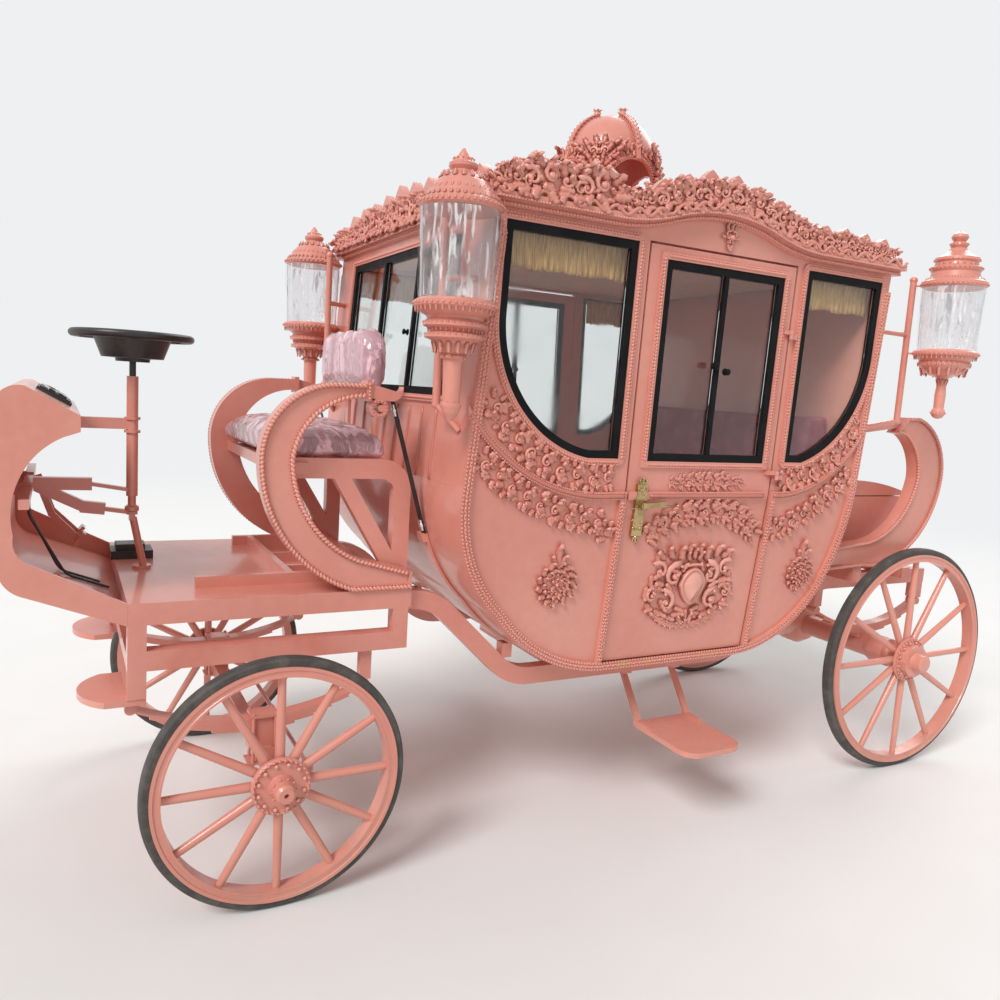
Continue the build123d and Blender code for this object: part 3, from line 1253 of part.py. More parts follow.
# Door steps, straps and control cables.
def build_small():
    front, rear, inner, outer, corner = 1615, 1305, 622, 1005, 75
    cut = corner * (1 - sqrt(0.5))
    tread = outline(
        Line((rear, inner), (front, inner)), Line((front, inner), (front, outer - corner)),
        ThreePointArc((front, outer - corner), (front - cut, outer - cut), (front - corner, outer)),
        Line((front - corner, outer), (rear + corner, outer)),
        ThreePointArc((rear + corner, outer), (rear + cut, outer - cut), (rear, outer - corner)),
        Line((rear, outer - corner), (rear, inner)),
    )
    plate = Pos(0, 0, step_tread_z - 22) * extrude(tread, amount=22)
    under = Pos(0, 0, step_tread_z - 23) * extrude(offset(tread, amount=-8, kind=Kind.INTERSECTION), amount=17)
    step = plate - under
    rail_foot = rail_low_z - rail_height / 2 - seat_gap
    for x in (rear, front - 30):
        flange = block((x - 10, x + 40), (rail_y - 30, rail_y + 30), (rail_foot - 8, rail_foot))
        arm = bar((x + 15, rail_y - 10, rail_foot), (x + 15, inner + 22, step_tread_z - 6), 30, 14)
        heel = block((x, x + 30), (inner - 5, inner + 100), (step_tread_z - 1, step_tread_z + 10))
        step = step + flange + arm + heel
    step = step - block((1200, 1700), (400, 600), (rail_foot, rail_foot + 60))
    keep("door_steps", both_sides(step))

    top = (2800, front_scroll_y - 25, 1768)
    foot = (2641, rail_y + 16, 1262 + seat_gap)
    strap = bar(top, foot, 28, 6)
    strap = strap - block((2500, 2700), (400, 700), (1100, 1262 + seat_gap)) - block((2700, 2900), (400, 700), (1767, 1900))
    keep("straps", both_sides(strap))

    slope = (1092 - (platform_top_z - beam_height)) / (4005 - platform_front_x)
    sheet = platform_top_z - beam_height + cowl_sheet * sqrt(1 + slope * slope)
    lift = (cable_radius + seat_gap) * sqrt(1 + slope * slope)
    cables = []
    # y of the cable, x of the bend at the sheet and x of its end
    for y, bend_x, end_x in ((60, 3905, 3770), (110, 3885, 3740)):
        path = FilletPolyline(
            Vector(4002, y, 1372 - seat_gap), Vector(4002, y, 1285),
            Vector(bend_x, y, sheet + lift + slope * (bend_x - platform_front_x)),
            Vector(end_x, y, sheet + lift + slope * (end_x - platform_front_x)), radius=cable_bend)
        start = Plane(origin=path @ 0, z_dir=path % 0)
        cables.append(sweep(start * Circle(cable_radius), path=path))
    keep("control_cables", fused(cables))


def main():
    build_wheels()
    build_front_axle()
    build_springs()
    build_rear_axle()
    build_chassis()
    build_platform()
    build_cowl()
    build_controls()
    build_seat()
    build_scrolls()
    build_tub()
    build_end_walls()
    build_sides()
    build_windows()
    build_roof()
    build_crown()
    build_lamps()
    build_trunk()
    build_small()
    os.makedirs("parts", exist_ok=True)
    for name, piece in nodes.items():
        export_step(Pos(-origin_x, 0, 0) * piece, f"parts/{name}.step")


main()
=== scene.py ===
"""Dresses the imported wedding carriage: finishes, mouldings, carving, glass and upholstery."""

import random
from math import asin, atan2, cos, degrees, hypot, pi, radians, sin, sqrt

import bpy
import numpy as np
from mathutils import Matrix, Vector


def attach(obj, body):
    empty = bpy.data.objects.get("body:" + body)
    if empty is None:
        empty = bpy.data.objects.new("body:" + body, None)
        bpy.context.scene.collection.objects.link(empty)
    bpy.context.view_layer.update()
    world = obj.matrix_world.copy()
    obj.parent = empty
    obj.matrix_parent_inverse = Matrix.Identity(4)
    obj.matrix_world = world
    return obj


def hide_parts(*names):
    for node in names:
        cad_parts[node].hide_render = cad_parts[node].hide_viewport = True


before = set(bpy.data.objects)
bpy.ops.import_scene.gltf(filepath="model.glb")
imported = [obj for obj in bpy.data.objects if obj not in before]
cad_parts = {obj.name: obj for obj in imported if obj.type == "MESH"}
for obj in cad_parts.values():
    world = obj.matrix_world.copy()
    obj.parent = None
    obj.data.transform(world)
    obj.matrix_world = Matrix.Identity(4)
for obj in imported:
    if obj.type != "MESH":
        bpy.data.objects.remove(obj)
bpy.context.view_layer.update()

bl_info = {
    "name": "Wedding carriage dressing",
    "version": (1, 0, 0),
    "blender": (4, 5, 0),
    "location": "3D View > Sidebar > Carriage",
    "description": "Finishes, mouldings, carving, glass and upholstery for a closed wedding carriage",
    "category": "Object",
}

# Lengths in the tables are millimetres, with x counted forward from the rear axle.
MIDDLE_X = 1748.5
MM = 0.001
SILL_Z, BELT_Z, EAVE_Z = 715, 1455, 2455
SILL_Y, BELT_Y, EAVE_Y = 766, 850, 882
FRONT_BELT_X, FRONT_EAVE_X, REAR_BELT_X, REAR_EAVE_X = 2650, 2580, 632, 582
CORNICE_TOP_Z = 2498
ROOF_TOP_Z = 2648
ARCH = (2110, 1590, 1070, 85)


# ---------------------------------------------------------------- settings
def colour_setting(name, description, default):
    return bpy.props.FloatVectorProperty(
        name=name, description=description, subtype="COLOR", size=3, default=default, min=0.0, max=1.0)


def length_setting(name, description, default, least, most):
    return bpy.props.FloatProperty(
        name=name, description=description, default=default, min=least, max=most, unit="LENGTH")


class PaintSettings(bpy.types.PropertyGroup):
    paint: colour_setting("Paint", "Salmon-pink gloss of body, wheels and frame", (0.665, 0.240, 0.180))
    # Chalk is the chalky patches and chips of the paint, and also the painted highlight on the raised parts of the
    # carving.
    chalk_and_highlight: colour_setting(
        "Chalk", "Paler pink where the gloss has gone chalky and on raised edges", (0.86, 0.43, 0.345))
    # Recess is painted shade: a deeper pink laid into the hollows of the carving, where shade falls.
    recess_shade: colour_setting("Recess", "Deeper pink in the hollows of the carving", (0.46, 0.135, 0.098))
    soil: colour_setting("Soil", "Dust and soil low on the wheels and frame", (0.36, 0.23, 0.16))


class OrnamentSettings(bpy.types.PropertyGroup):
    bead: length_setting("Bead radius", "Radius of the beads that edge the mouldings", 0.0062, 0.002, 0.02)
    bead_step: length_setting("Bead spacing", "Distance from bead to bead", 0.0145, 0.005, 0.05)


class UpholsterySettings(bpy.types.PropertyGroup):
    fringe: length_setting("Fringe", "Drop of the gold fringe inside the window heads", 0.135, 0.02, 0.3)
    fill: bpy.props.FloatProperty(
        name="Fill", description="How full the cushions are", default=0.7, min=0.0, max=1.0, subtype="FACTOR")


class StageSettings(bpy.types.PropertyGroup):
    floor: colour_setting("Floor", "Colour of the plain floor", (0.80, 0.80, 0.79))
    key: bpy.props.FloatProperty(
        name="Key light", description="Strength of the main soft light", default=2.25, min=0.0, max=10.0)
    sky: bpy.props.FloatProperty(
        name="Room light", description="Strength of the light from all round", default=0.52, min=0.0, max=3.0)


# ---------------------------------------------------------------- places on the carriage
def place(x, y, z):
    return Vector(((x - MIDDLE_X) * MM, y * MM, z * MM))


def side_y(z):
    if z < BELT_Z:
        return SILL_Y + (BELT_Y - SILL_Y) * (z - SILL_Z) / (BELT_Z - SILL_Z)
    return BELT_Y + (EAVE_Y - BELT_Y) * (z - BELT_Z) / (EAVE_Z - BELT_Z)


def front_x(z):
    return FRONT_BELT_X + (FRONT_EAVE_X - FRONT_BELT_X) * (z - BELT_Z) / (EAVE_Z - BELT_Z)


def rear_x(z):
    return REAR_BELT_X + (REAR_EAVE_X - REAR_BELT_X) * (z - BELT_Z) / (EAVE_Z - BELT_Z)


def arch_height(x):
    """How far the eave line has risen at x, over the door."""
    front, peak, back, rise = ARCH
    run = front - peak if x > peak else peak - back
    foot = front - x if x > peak else x - back
    if foot <= 0:
        return 0.0
    bend = (run * run + rise * rise) / (4 * rise)
    if foot < run / 2:
        return bend - sqrt(bend * bend - foot * foot)
    return rise - (bend - sqrt(bend * bend - (run - foot) ** 2))


def on_side(x, z, lift):
    """The coach's left side: place, forward, up along the panel, outward."""
    slope = (side_y(z + 1) - side_y(z - 1)) / 2
    up = Vector((0, slope, 1)).normalized()
    out = Vector((0, 1, -slope)).normalized()
    return place(x, side_y(z), z) + out * (lift * MM), Vector((1, 0, 0)), up, out


def end_wall(x_at, belt_x, eave_x, sign):
    """The coach's front (1) or back (-1) wall: place, to the left, up along the wall, outward."""
    def face(y, z, lift):
        up = Vector(((eave_x - belt_x) / (EAVE_Z - BELT_Z), 0, 1)).normalized()
        out = Vector((sign, 0, -sign * up.x)).normalized()
        return place(x_at(z), y, z) + out * (lift * MM), Vector((0, 1, 0)), up, out
    return face


on_front = end_wall(front_x, FRONT_BELT_X, FRONT_EAVE_X, 1)
on_rear = end_wall(rear_x, REAR_BELT_X, REAR_EAVE_X, -1)


def on_plate(y, sign=1):
    """An upright plate along the carriage at y, seen from the left (1) or the right (-1)."""
    def face(x, z, lift):
        return place(x, y + sign * lift, z), Vector((1, 0, 0)), Vector((0, 0, 1)), Vector((0, sign, 0))
    return face


def on_cross(x, sign):
    """An upright plate across the carriage at x, seen from the front (1) or the back (-1)."""
    def face(y, z, lift):
        return place(x + sign * lift, y, z), Vector((0, 1, 0)), Vector((0, 0, 1)), Vector((sign, 0, 0))
    return face


def posed(face, u, v, turn, size, lift=0.0):
    """A unit's place: its +Y points at turn degrees on the face, +Z outward, size in mm."""
    spot, right, up, out = face(u, v, lift)
    long = right * cos(radians(turn)) + up * sin(radians(turn))
    wide = long.cross(out)
    w, l, h = (size, size, size) if isinstance(size, (int, float)) else size
    m = Matrix((wide * w * MM, long * l * MM, out * h * MM)).transposed().to_4x4()
    m.translation = spot
    return m


def round_place(x, y, z, angle, radius):
    """A place round an upright axis, with axes across, up and outward."""
    out = Vector((cos(angle), sin(angle), 0))
    across = Vector((-sin(angle), cos(angle), 0))
    turn = Matrix((across, Vector((0, 0, 1)), out)).transposed().to_4x4()
    return Matrix.Translation(place(x, y, z) + out * (radius * MM)) @ turn


# ---------------------------------------------------------------- lines on a face
def arc(a, b, c, count=14):
    """Points on the circle through a, b and c, from a to c, without a."""
    (ax, ay), (bx, by), (cx, cy) = a, b, c
    d = 2 * (ax * (by - cy) + bx * (cy - ay) + cx * (ay - by))
    a2, b2, c2 = ax * ax + ay * ay, bx * bx + by * by, cx * cx + cy * cy
    mx = (a2 * (by - cy) + b2 * (cy - ay) + c2 * (ay - by)) / d
    my = (a2 * (cx - bx) + b2 * (ax - cx) + c2 * (bx - ax)) / d
    r = hypot(ax - mx, ay - my)
    start, mid, end = (atan2(p[1] - my, p[0] - mx) for p in (a, b, c))
    span = (end - start) % (2 * pi)
    if (mid - start) % (2 * pi) > span:
        span -= 2 * pi
    return [(mx + r * cos(start + span * i / count), my + r * sin(start + span * i / count))
            for i in range(1, count + 1)]


def spaced(points, step, closed=False, shift=0.0):
    """Evenly spaced places along a line: (u, v, direction in degrees); shift moves them to the left."""
    line = [Vector(p) for p in points]
    if closed:
        line.append(line[0])
    lengths = [(b - a).length for a, b in zip(line, line[1:])]
    total = sum(lengths)
    count = max(1, round(total / step))
    out = []
    for i in range(count):
        s = (i + 0.5) * total / count
        for a, b, length in zip(line, line[1:], lengths):
            if s <= length:
                run = (b - a) / length
                spot = a + run * s + Vector((-run.y, run.x)) * shift
                out.append((spot.x, spot.y, degrees(atan2(run.y, run.x))))
                break
            s -= length
    return out


FRONT_LIGHT = [(1988, 1600), (2130, 1600), *arc((2130, 1600), (2437, 1775), (2553, 2120)), (2551, 2417), (1988, 2417)]
REAR_LIGHT = [(1103, 1600), (1103, 2417), (640, 2417), (640, 2110), *arc((640, 2110), (737, 1788), (1000, 1600))]
DOOR_LIGHT = [(1230, 1593), (1850, 1593), (1850, 2369), (1230, 2369)]
BELT_FRONT = [(1936, 1455), (2010, 1455), *arc((2010, 1455), (2348, 1515), (2640, 1752))]
BELT_DOOR = [(1200, 1455), (1832, 1455)]
BELT_REAR = [(636, 1745), *arc((636, 1745), (803, 1560), (1090, 1455)), (1158, 1455)]
RIM = [
    (front_x(2375) - 19, 2375), (front_x(1455) - 19, 1455),
    *arc((2631, 1455), (2582, 1198), (2440, 1000)), *arc((2440, 1000), (2254, 832), (1946, 735)),
    (1234, 735), *arc((1234, 735), (940, 822), (758, 1014)), *arc((758, 1014), (686, 1198), (651, 1455)),
    (rear_x(2375) + 19, 2375)]


# ---------------------------------------------------------------- modelling helpers
def clear_selection():
    if bpy.context.object and bpy.context.object.mode != "OBJECT":
        bpy.ops.object.mode_set(mode="OBJECT")
    bpy.ops.object.select_all(action="DESELECT")


def only(*objects):
    clear_selection()
    for o in objects:
        o.select_set(True)
    bpy.context.view_layer.objects.active = objects[0]
    return objects[0]


def taken(name):
    """The object just added, named."""
    o = bpy.context.object
    o.name = o.data.name = name
    return o


def settled(o):
    """Applies the object's place, turn and size to its mesh."""
    only(o)
    bpy.ops.object.transform_apply(location=True, rotation=True, scale=True)
    return o


def modified(o, kind, **values):
    """Adds one modifier and applies it."""
    only(o)
    m = o.modifiers.new(kind.title(), kind)
    for key, value in values.items():
        setattr(m, key, value)
    bpy.ops.object.modifier_apply(modifier=m.name)
    return o


def smooth(o, angle=None):
    only(o)
    if angle is None:
        bpy.ops.object.shade_smooth()
    else:
        bpy.ops.object.shade_smooth_by_angle(angle=radians(angle))
    return o


def outward(o):
    only(o)
    bpy.ops.object.mode_set(mode="EDIT")
    bpy.ops.mesh.select_all(action="SELECT")
    bpy.ops.mesh.remove_doubles(threshold=0.00001)
    bpy.ops.mesh.normals_make_consistent(inside=False)
    bpy.ops.object.mode_set(mode="OBJECT")
    return o


def pick(o, test, faces=False):
    """Selects in edit mode the vertices, or faces, that lie where test says; the object is left in edit mode."""
    only(o)
    bpy.ops.object.mode_set(mode="EDIT")
    bpy.ops.mesh.select_mode(type="FACE" if faces else "VERT")
    bpy.ops.mesh.select_all(action="DESELECT")
    bpy.ops.object.mode_set(mode="OBJECT")
    for item in o.data.polygons if faces else o.data.vertices:
        if test(item.center if faces else item.co):
            item.select = True
    bpy.ops.object.mode_set(mode="EDIT")


def turned(name, points, steps):
    """A turned piece: one ring extruded and resized along its outline of (radius, height)."""
    clear_selection()
    r, z = points[0]
    bpy.ops.mesh.primitive_circle_add(vertices=steps, radius=r, fill_type="NGON", location=(0, 0, z))
    o = settled(taken(name))
    bpy.ops.object.mode_set(mode="EDIT")
    bpy.ops.mesh.select_all(action="SELECT")
    for r1, z1 in points[1:]:
        bpy.ops.mesh.extrude_region_move(TRANSFORM_OT_translate={"value": (0, 0, z1 - z)})
        bpy.ops.transform.resize(value=(r1 / r, r1 / r, 1), center_override=(0, 0, z1))
        r, z = r1, z1
    bpy.ops.object.mode_set(mode="OBJECT")
    return outward(o)


def turned_at(name, points, steps, place_of, angle=35):
    """A turned fitting, its outline in millimetres, moved to a place."""
    o = turned(name, points, steps)
    o.data.transform(place_of @ Matrix.Scale(MM, 4))
    return smooth(o, angle)


def joined(name, pieces):
    """The pieces as one object of this name."""
    only(*pieces)
    bpy.ops.object.join()
    pieces[0].name = pieces[0].data.name = name
    return pieces[0]


def tube(name, points, radius, sides=6):
    """A round bar along points in metres."""
    clear_selection()
    curve = bpy.data.curves.new(name, "CURVE")
    curve.dimensions = "3D"
    curve.bevel_depth = radius
    curve.bevel_resolution = max(0, sides // 2 - 2)
    curve.use_fill_caps = True
    curve.resolution_u = 3
    spline = curve.splines.new("NURBS")
    spline.points.add(len(points) - 1)
    for p, q in zip(spline.points, points):
        p.co = (*q, 1)
    spline.order_u = 3
    spline.use_endpoint_u = True
    o = bpy.data.objects.new(name, curve)
    bpy.context.scene.collection.objects.link(o)
    only(o)
    bpy.ops.object.convert(target="MESH")
    return smooth(outward(taken(name)))


def points_of(o):
    """The vertices of an object's mesh as an array of three columns."""
    co = np.empty(len(o.data.vertices) * 3)
    o.data.vertices.foreach_get("co", co)
    return co.reshape(-1, 3)


def assembled(name, placed):
    """One smooth mesh from copies of units, each with its place; their height is kept as the relief attribute."""
    points, faces, relief, count = [], [], [], 0
    kinds = {}
    for unit, m in placed:
        if unit.name not in kinds:
            co = points_of(unit)
            top = max(1e-9, float(co[:, 2].max()))
            kinds[unit.name] = (
                np.c_[co, np.ones(len(co))], [tuple(p.vertices) for p in unit.data.polygons],
                np.clip(co[:, 2] / top, 0, 1))
        co, polys, height = kinds[unit.name]
        points.append((co @ np.array(m, float).T)[:, :3])
        relief.append(height)
        faces.extend([tuple(i + count for i in p) for p in polys])
        count += len(co)
    mesh = bpy.data.meshes.new(name)
    mesh.from_pydata(np.vstack(points).tolist(), [], faces)
    attribute = mesh.attributes.new("relief", "FLOAT", "POINT")
    attribute.data.foreach_set("value", np.concatenate(relief).astype(np.float32))
    mesh.update()
    o = bpy.data.objects.new(name, mesh)
    bpy.context.scene.collection.objects.link(o)
    return smooth(o)


def mirrored(o, name, axis=(0, 1, 0)):
    """A twin turned over along an axis, by default to the right-hand side, with its faces still outward."""
    twin = o.copy()
    twin.data = o.data.copy()
    twin.name = twin.data.name = name
    twin.data.transform(Matrix.Scale(-1, 4, axis))
    twin.data.flip_normals()
    bpy.context.scene.collection.objects.link(twin)
    return twin


def kept(o, body, finish):
    """Gives a finished piece its material and its body."""
    o.data.materials.clear()
    o.data.materials.append(finish)
    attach(o, body)
    return o


def both(o, body, finish):
    """Keeps a left-hand piece and its mirrored twin; what isn't on the carriage rides on its own side's body."""
    name = o.name
    twin = mirrored(o, name + "_right")
    o.name = o.data.name = name + "_left"
    pair = (body, body) if body == "carriage" else (body + "_left", body + "_right")
    kept(o, pair[0], finish)
    kept(twin, pair[1], finish)
    return o, twin


# ---------------------------------------------------------------- carved units
units = {}


def unit_at(kind, face, u, v, turn, size, lift=0.0):
    """A unit with its place on a face, ready to be assembled."""
    return units[kind], posed(face, u, v, turn, size, lift)


def handed(kind, side):
    """The unit that stands for this one on side -1, where scrolls curl the other way."""
    return kind if side > 0 else {"scroll": "scroll_back", "scroll_back": "scroll"}.get(kind, kind)


def ring_of(kind, count, face, centre, radius, size, lift, radial=False, start=0.0):
    """Units round a circle on a face; radial ones point away from its middle."""
    angles = [2 * pi * (k + start) / count for k in range(count)]
    return [unit_at(kind, face, centre[0] + radius * cos(a), centre[1] + radius * sin(a),
                    degrees(a) if radial else 0, size, lift) for a in angles]


def moved(o, test, by):
    """Moves the vertices that test picks."""
    pick(o, test)
    bpy.ops.transform.translate(value=by)
    bpy.ops.object.mode_set(mode="OBJECT")


# Width and height of the leaf's eight rows, from its stem to its tip.
LEAF_WIDTHS = (0.46, 0.82, 1.04, 0.80, 1.06, 0.78, 0.66, 0.26)
LEAF_CROWN = (0.16, 0.34, 0.46, 0.44, 0.52, 0.50, 0.46, 0.34)


def leaf_unit(name, bend=0.35, notch=0.12):
    """One lobed leaf, 1 long along +Y, with a raised rib and a tip that curls outward."""
    clear_selection()
    bpy.ops.mesh.primitive_grid_add(x_subdivisions=2, y_subdivisions=7, size=1, location=(0, 0.5, 0))
    o = settled(taken(name))
    for i, (width, high) in enumerate(zip(LEAF_WIDTHS, LEAF_CROWN)):
        y = i / 7
        pick(o, lambda co: abs(co.y - y) < 0.02)
        bpy.ops.transform.resize(value=(width * 0.66, 1, 1), center_override=(0, y, 0))
        bpy.ops.transform.translate(value=(0, 0, high * 0.45))
        bpy.ops.object.mode_set(mode="OBJECT")
    moved(o, lambda co: abs(co.x) > 0.02, (0, 0.03, -notch))
    moved(o, lambda co: abs(co.x) < 0.02 and 0.05 < co.y < 0.95, (0, 0, notch * 0.6))
    moved(o, lambda co: co.y > 0.82, (0, -0.05, bend * 0.5))
    modified(o, "SOLIDIFY", thickness=0.20, offset=-1)
    units[name] = smooth(outward(o))


def scroll_unit(name, turns=1.35, steps=15, thick=0.16):
    """A volute: one ring extruded, turned and resized along a spiral that ends in an eye."""
    clear_selection()
    high = thick * 0.8
    bpy.ops.mesh.primitive_circle_add(vertices=6, radius=thick, fill_type="NGON", location=(0.5, 0, high))
    o = settled(taken(name))
    pick(o, lambda co: True)
    bpy.ops.transform.rotate(value=pi / 2, orient_axis="X", center_override=(0.5, 0, high))
    shrink = 0.12 ** (1 / steps)
    for _ in range(steps):
        bpy.ops.mesh.extrude_region_move(TRANSFORM_OT_translate={"value": (0, 0, 0.004)})
        bpy.ops.transform.rotate(value=-turns * 2 * pi / steps, orient_axis="Z", center_override=(0, 0, 0))
        bpy.ops.transform.resize(value=(shrink, shrink, 0.965), center_override=(0, 0, high))
    bpy.ops.object.mode_set(mode="OBJECT")
    units[name] = smooth(outward(o))
    units[name + "_back"] = mirrored(o, name + "_back", (1, 0, 0))


def bead_unit(name, detail):
    """A bead of radius 1 with a flattened back."""
    clear_selection()
    bpy.ops.mesh.primitive_ico_sphere_add(subdivisions=detail, radius=1, location=(0, 0, 0))
    o = taken(name)
    pick(o, lambda co: co.z < -0.3)
    bpy.ops.transform.resize(value=(1.04, 1.04, 0.6), center_override=(0, 0, -0.3))
    bpy.ops.object.mode_set(mode="OBJECT")
    units[name] = smooth(settled(o))


# One repeat of a running sprig, in shares of its height: unit, along, across, turn, length, width, height of relief.
SPRIG = (
    ("scroll", 0.34, 0.02, 60, 0.70, 0.70, 0.40),
    ("curled_leaf", 0.02, 0.00, 38, 0.60, 0.66, 0.52),
    ("leaf", 0.20, 0.22, 92, 0.44, 0.56, 0.56),
    ("leaf", 0.52, 0.28, 58, 0.46, 0.56, 0.54),
    ("curled_leaf", 0.76, 0.12, 14, 0.54, 0.56, 0.48),
    ("leaf", 0.16, -0.18, -72, 0.46, 0.58, 0.54),
    ("leaf", 0.46, -0.26, -96, 0.42, 0.54, 0.56),
    ("leaf", 0.74, -0.22, -42, 0.46, 0.54, 0.50),
    ("berry", 0.34, 0.02, 0, 0.09, 0.09, 0.13),
    ("bead", 0.94, 0.28, 0, 0.085, 0.085, 0.11),
    ("bead", 0.04, -0.34, 0, 0.075, 0.075, 0.10),
)


def running_sprig(face, line, height, lift=0.0, seed=1, taper=0.0):
    """Foliage along a line, every second repeat turned over, its leaves varied a little."""
    rng = random.Random(seed)
    spots = spaced(line, height * 0.80)
    placed = []
    for k, (u, v, turn) in enumerate(spots):
        over = -1 if k % 2 else 1
        end = min(k, len(spots) - 1 - k) / max(1, len(spots) / 2)
        grow = height * (1 - taper * (1 - min(1.0, end * 2)))
        run = Vector((cos(radians(turn)), sin(radians(turn))))
        side = Vector((-run.y, run.x))
        for unit, along, across, point, long, wide, high in SPRIG:
            jig = rng.uniform(-16, 16)
            size = grow * rng.uniform(0.84, 1.16)
            spot = Vector((u, v)) + run * (along - 0.5) * grow * 0.9 + side * (across * over * grow)
            placed.append(unit_at(
                handed(unit, over), face, spot.x, spot.y, turn + over * point + jig,
                (size * wide, size * long, size * high), lift))
    return placed


# ---------------------------------------------------------------- materials
finishes = {}


def node(tree, kind, **values):
    n = tree.nodes.new(kind)
    for key, value in values.items():
        if hasattr(n, key):
            setattr(n, key, value)
        else:
            n.inputs[key.replace("_", " ")].default_value = value
    return n


def wire(tree, source, output, target, socket):
    tree.links.new(source.outputs[output], target.inputs[socket])


def noise(tree, source, output="Object", **values):
    """A noise texture on the coordinates of source."""
    n = node(tree, "ShaderNodeTexNoise", **values)
    wire(tree, source, output, n, "Vector")
    return n


def drawn_out(tree, source, output, height):
    """Coordinates drawn out along the vertical."""
    n = node(tree, "ShaderNodeMapping")
    n.inputs["Scale"].default_value = (1.0, 1.0, height)
    wire(tree, source, output, n, "Vector")
    return n


def shader_mix(tree, factor, output, first, second, end="Material Output"):
    """Mixes two (node, output) shaders into the tree's end."""
    mix = node(tree, "ShaderNodeMixShader")
    wire(tree, factor, output, mix, 0)
    wire(tree, *first, mix, 1)
    wire(tree, *second, mix, 2)
    wire(tree, mix, "Shader", tree.nodes[end], "Surface")


def maths(tree, operation, source, output, value):
    n = node(tree, "ShaderNodeMath", operation=operation)
    wire(tree, source, output, n, 0)
    if isinstance(value, tuple):
        wire(tree, *value, n, 1)
    else:
        n.inputs[1].default_value = value
    return n


def ranged(tree, source, output, low, high, to_low, to_high, smooth_step=False):
    n = node(tree, "ShaderNodeMapRange", interpolation_type="SMOOTHSTEP" if smooth_step else "LINEAR")
    for key, value in (("From Min", low), ("From Max", high), ("To Min", to_low), ("To Max", to_high)):
        n.inputs[key].default_value = value
    wire(tree, source, output, n, "Value")
    return n


def blended(tree, factor, output, a, b):
    """Mixes two colours; each is a colour or (node, output)."""
    n = node(tree, "ShaderNodeMix", data_type="RGBA")
    wire(tree, factor, output, n, 0)
    for socket, value in ((6, a), (7, b)):
        if hasattr(value[0], "outputs"):
            wire(tree, *value, n, socket)
        else:
            n.inputs[socket].default_value = (*value, 1)
    return n


def group_tree(name, inputs, outputs):
    tree = bpy.data.node_groups.new(name, "ShaderNodeTree")
    kinds = {"color": "NodeSocketColor", "value": "NodeSocketFloat", "vector": "NodeSocketVector"}
    for label, kind in inputs:
        tree.interface.new_socket(name=label, in_out="INPUT", socket_type=kinds[kind])
    for label, kind in outputs:
        tree.interface.new_socket(name=label, in_out="OUTPUT", socket_type=kinds[kind])
    return tree, node(tree, "NodeGroupInput"), node(tree, "NodeGroupOutput")


def make_paint_group():
    """Sprayed gloss: cloudy tone, chalky patches, low soil, small chips, orange peel."""
    tree, given, out = group_tree(
        "Sprayed paint",
        (("Vector", "vector"), ("Paint", "color"), ("Chalk", "color"), ("Soil", "color")),
        (("Color", "color"), ("Roughness", "value"), ("Height", "value")))
    cloud = noise(tree, given, "Vector", Scale=1.7, Detail=4.0)
    fine = noise(tree, given, "Vector", Scale=23.0, Detail=6.0, Roughness=0.65)
    peel = noise(tree, given, "Vector", Scale=210.0, Detail=2.0)
    ripple = noise(tree, given, "Vector", Scale=7.0, Detail=2.0)
    chips = node(tree, "ShaderNodeTexVoronoi", Scale=34.0)
    wire(tree, given, "Vector", chips, "Vector")
    patch = ranged(tree, cloud, "Fac", 0.40, 0.68, 0.0, 0.30)
    mottle = ranged(tree, fine, "Fac", 0.35, 0.75, 0.0, 0.16)
    share = maths(tree, "ADD", patch, "Result", (mottle, "Result"))
    colour = blended(tree, share, "Value", (given, "Paint"), (given, "Chalk"))
    axes = node(tree, "ShaderNodeSeparateXYZ")
    wire(tree, given, "Vector", axes, "Vector")
    low = ranged(tree, axes, "Z", 0.85, 0.05, 0.0, 0.42)
    grit = ranged(tree, fine, "Fac", 0.38, 0.66, 0.15, 1.0)
    soil = maths(tree, "MULTIPLY", low, "Result", (grit, "Result"))
    dirty = blended(tree, soil, "Value", (colour, "Result"), (given, "Soil"))
    spot = ranged(tree, chips, "Distance", 0.055, 0.03, 0.0, 1.0)
    rare = ranged(tree, cloud, "Fac", 0.60, 0.64, 0.0, 0.55)
    chip = maths(tree, "MULTIPLY", spot, "Result", (rare, "Result"))
    wire(tree, blended(tree, chip, "Value", (dirty, "Result"), (given, "Chalk")), "Result", out, "Color")
    rough = ranged(tree, fine, "Fac", 0.3, 0.7, 0.30, 0.44)
    total = maths(tree, "ADD", rough, "Result", (maths(tree, "MULTIPLY", soil, "Value", 0.5), "Value"))
    wire(tree, total, "Value", out, "Roughness")
    a = maths(tree, "MULTIPLY", peel, "Fac", 0.22)
    b = maths(tree, "MULTIPLY", ripple, "Fac", 1.6)
    wire(tree, maths(tree, "ADD", a, "Value", (b, "Value")), "Value", out, "Height")
    return tree


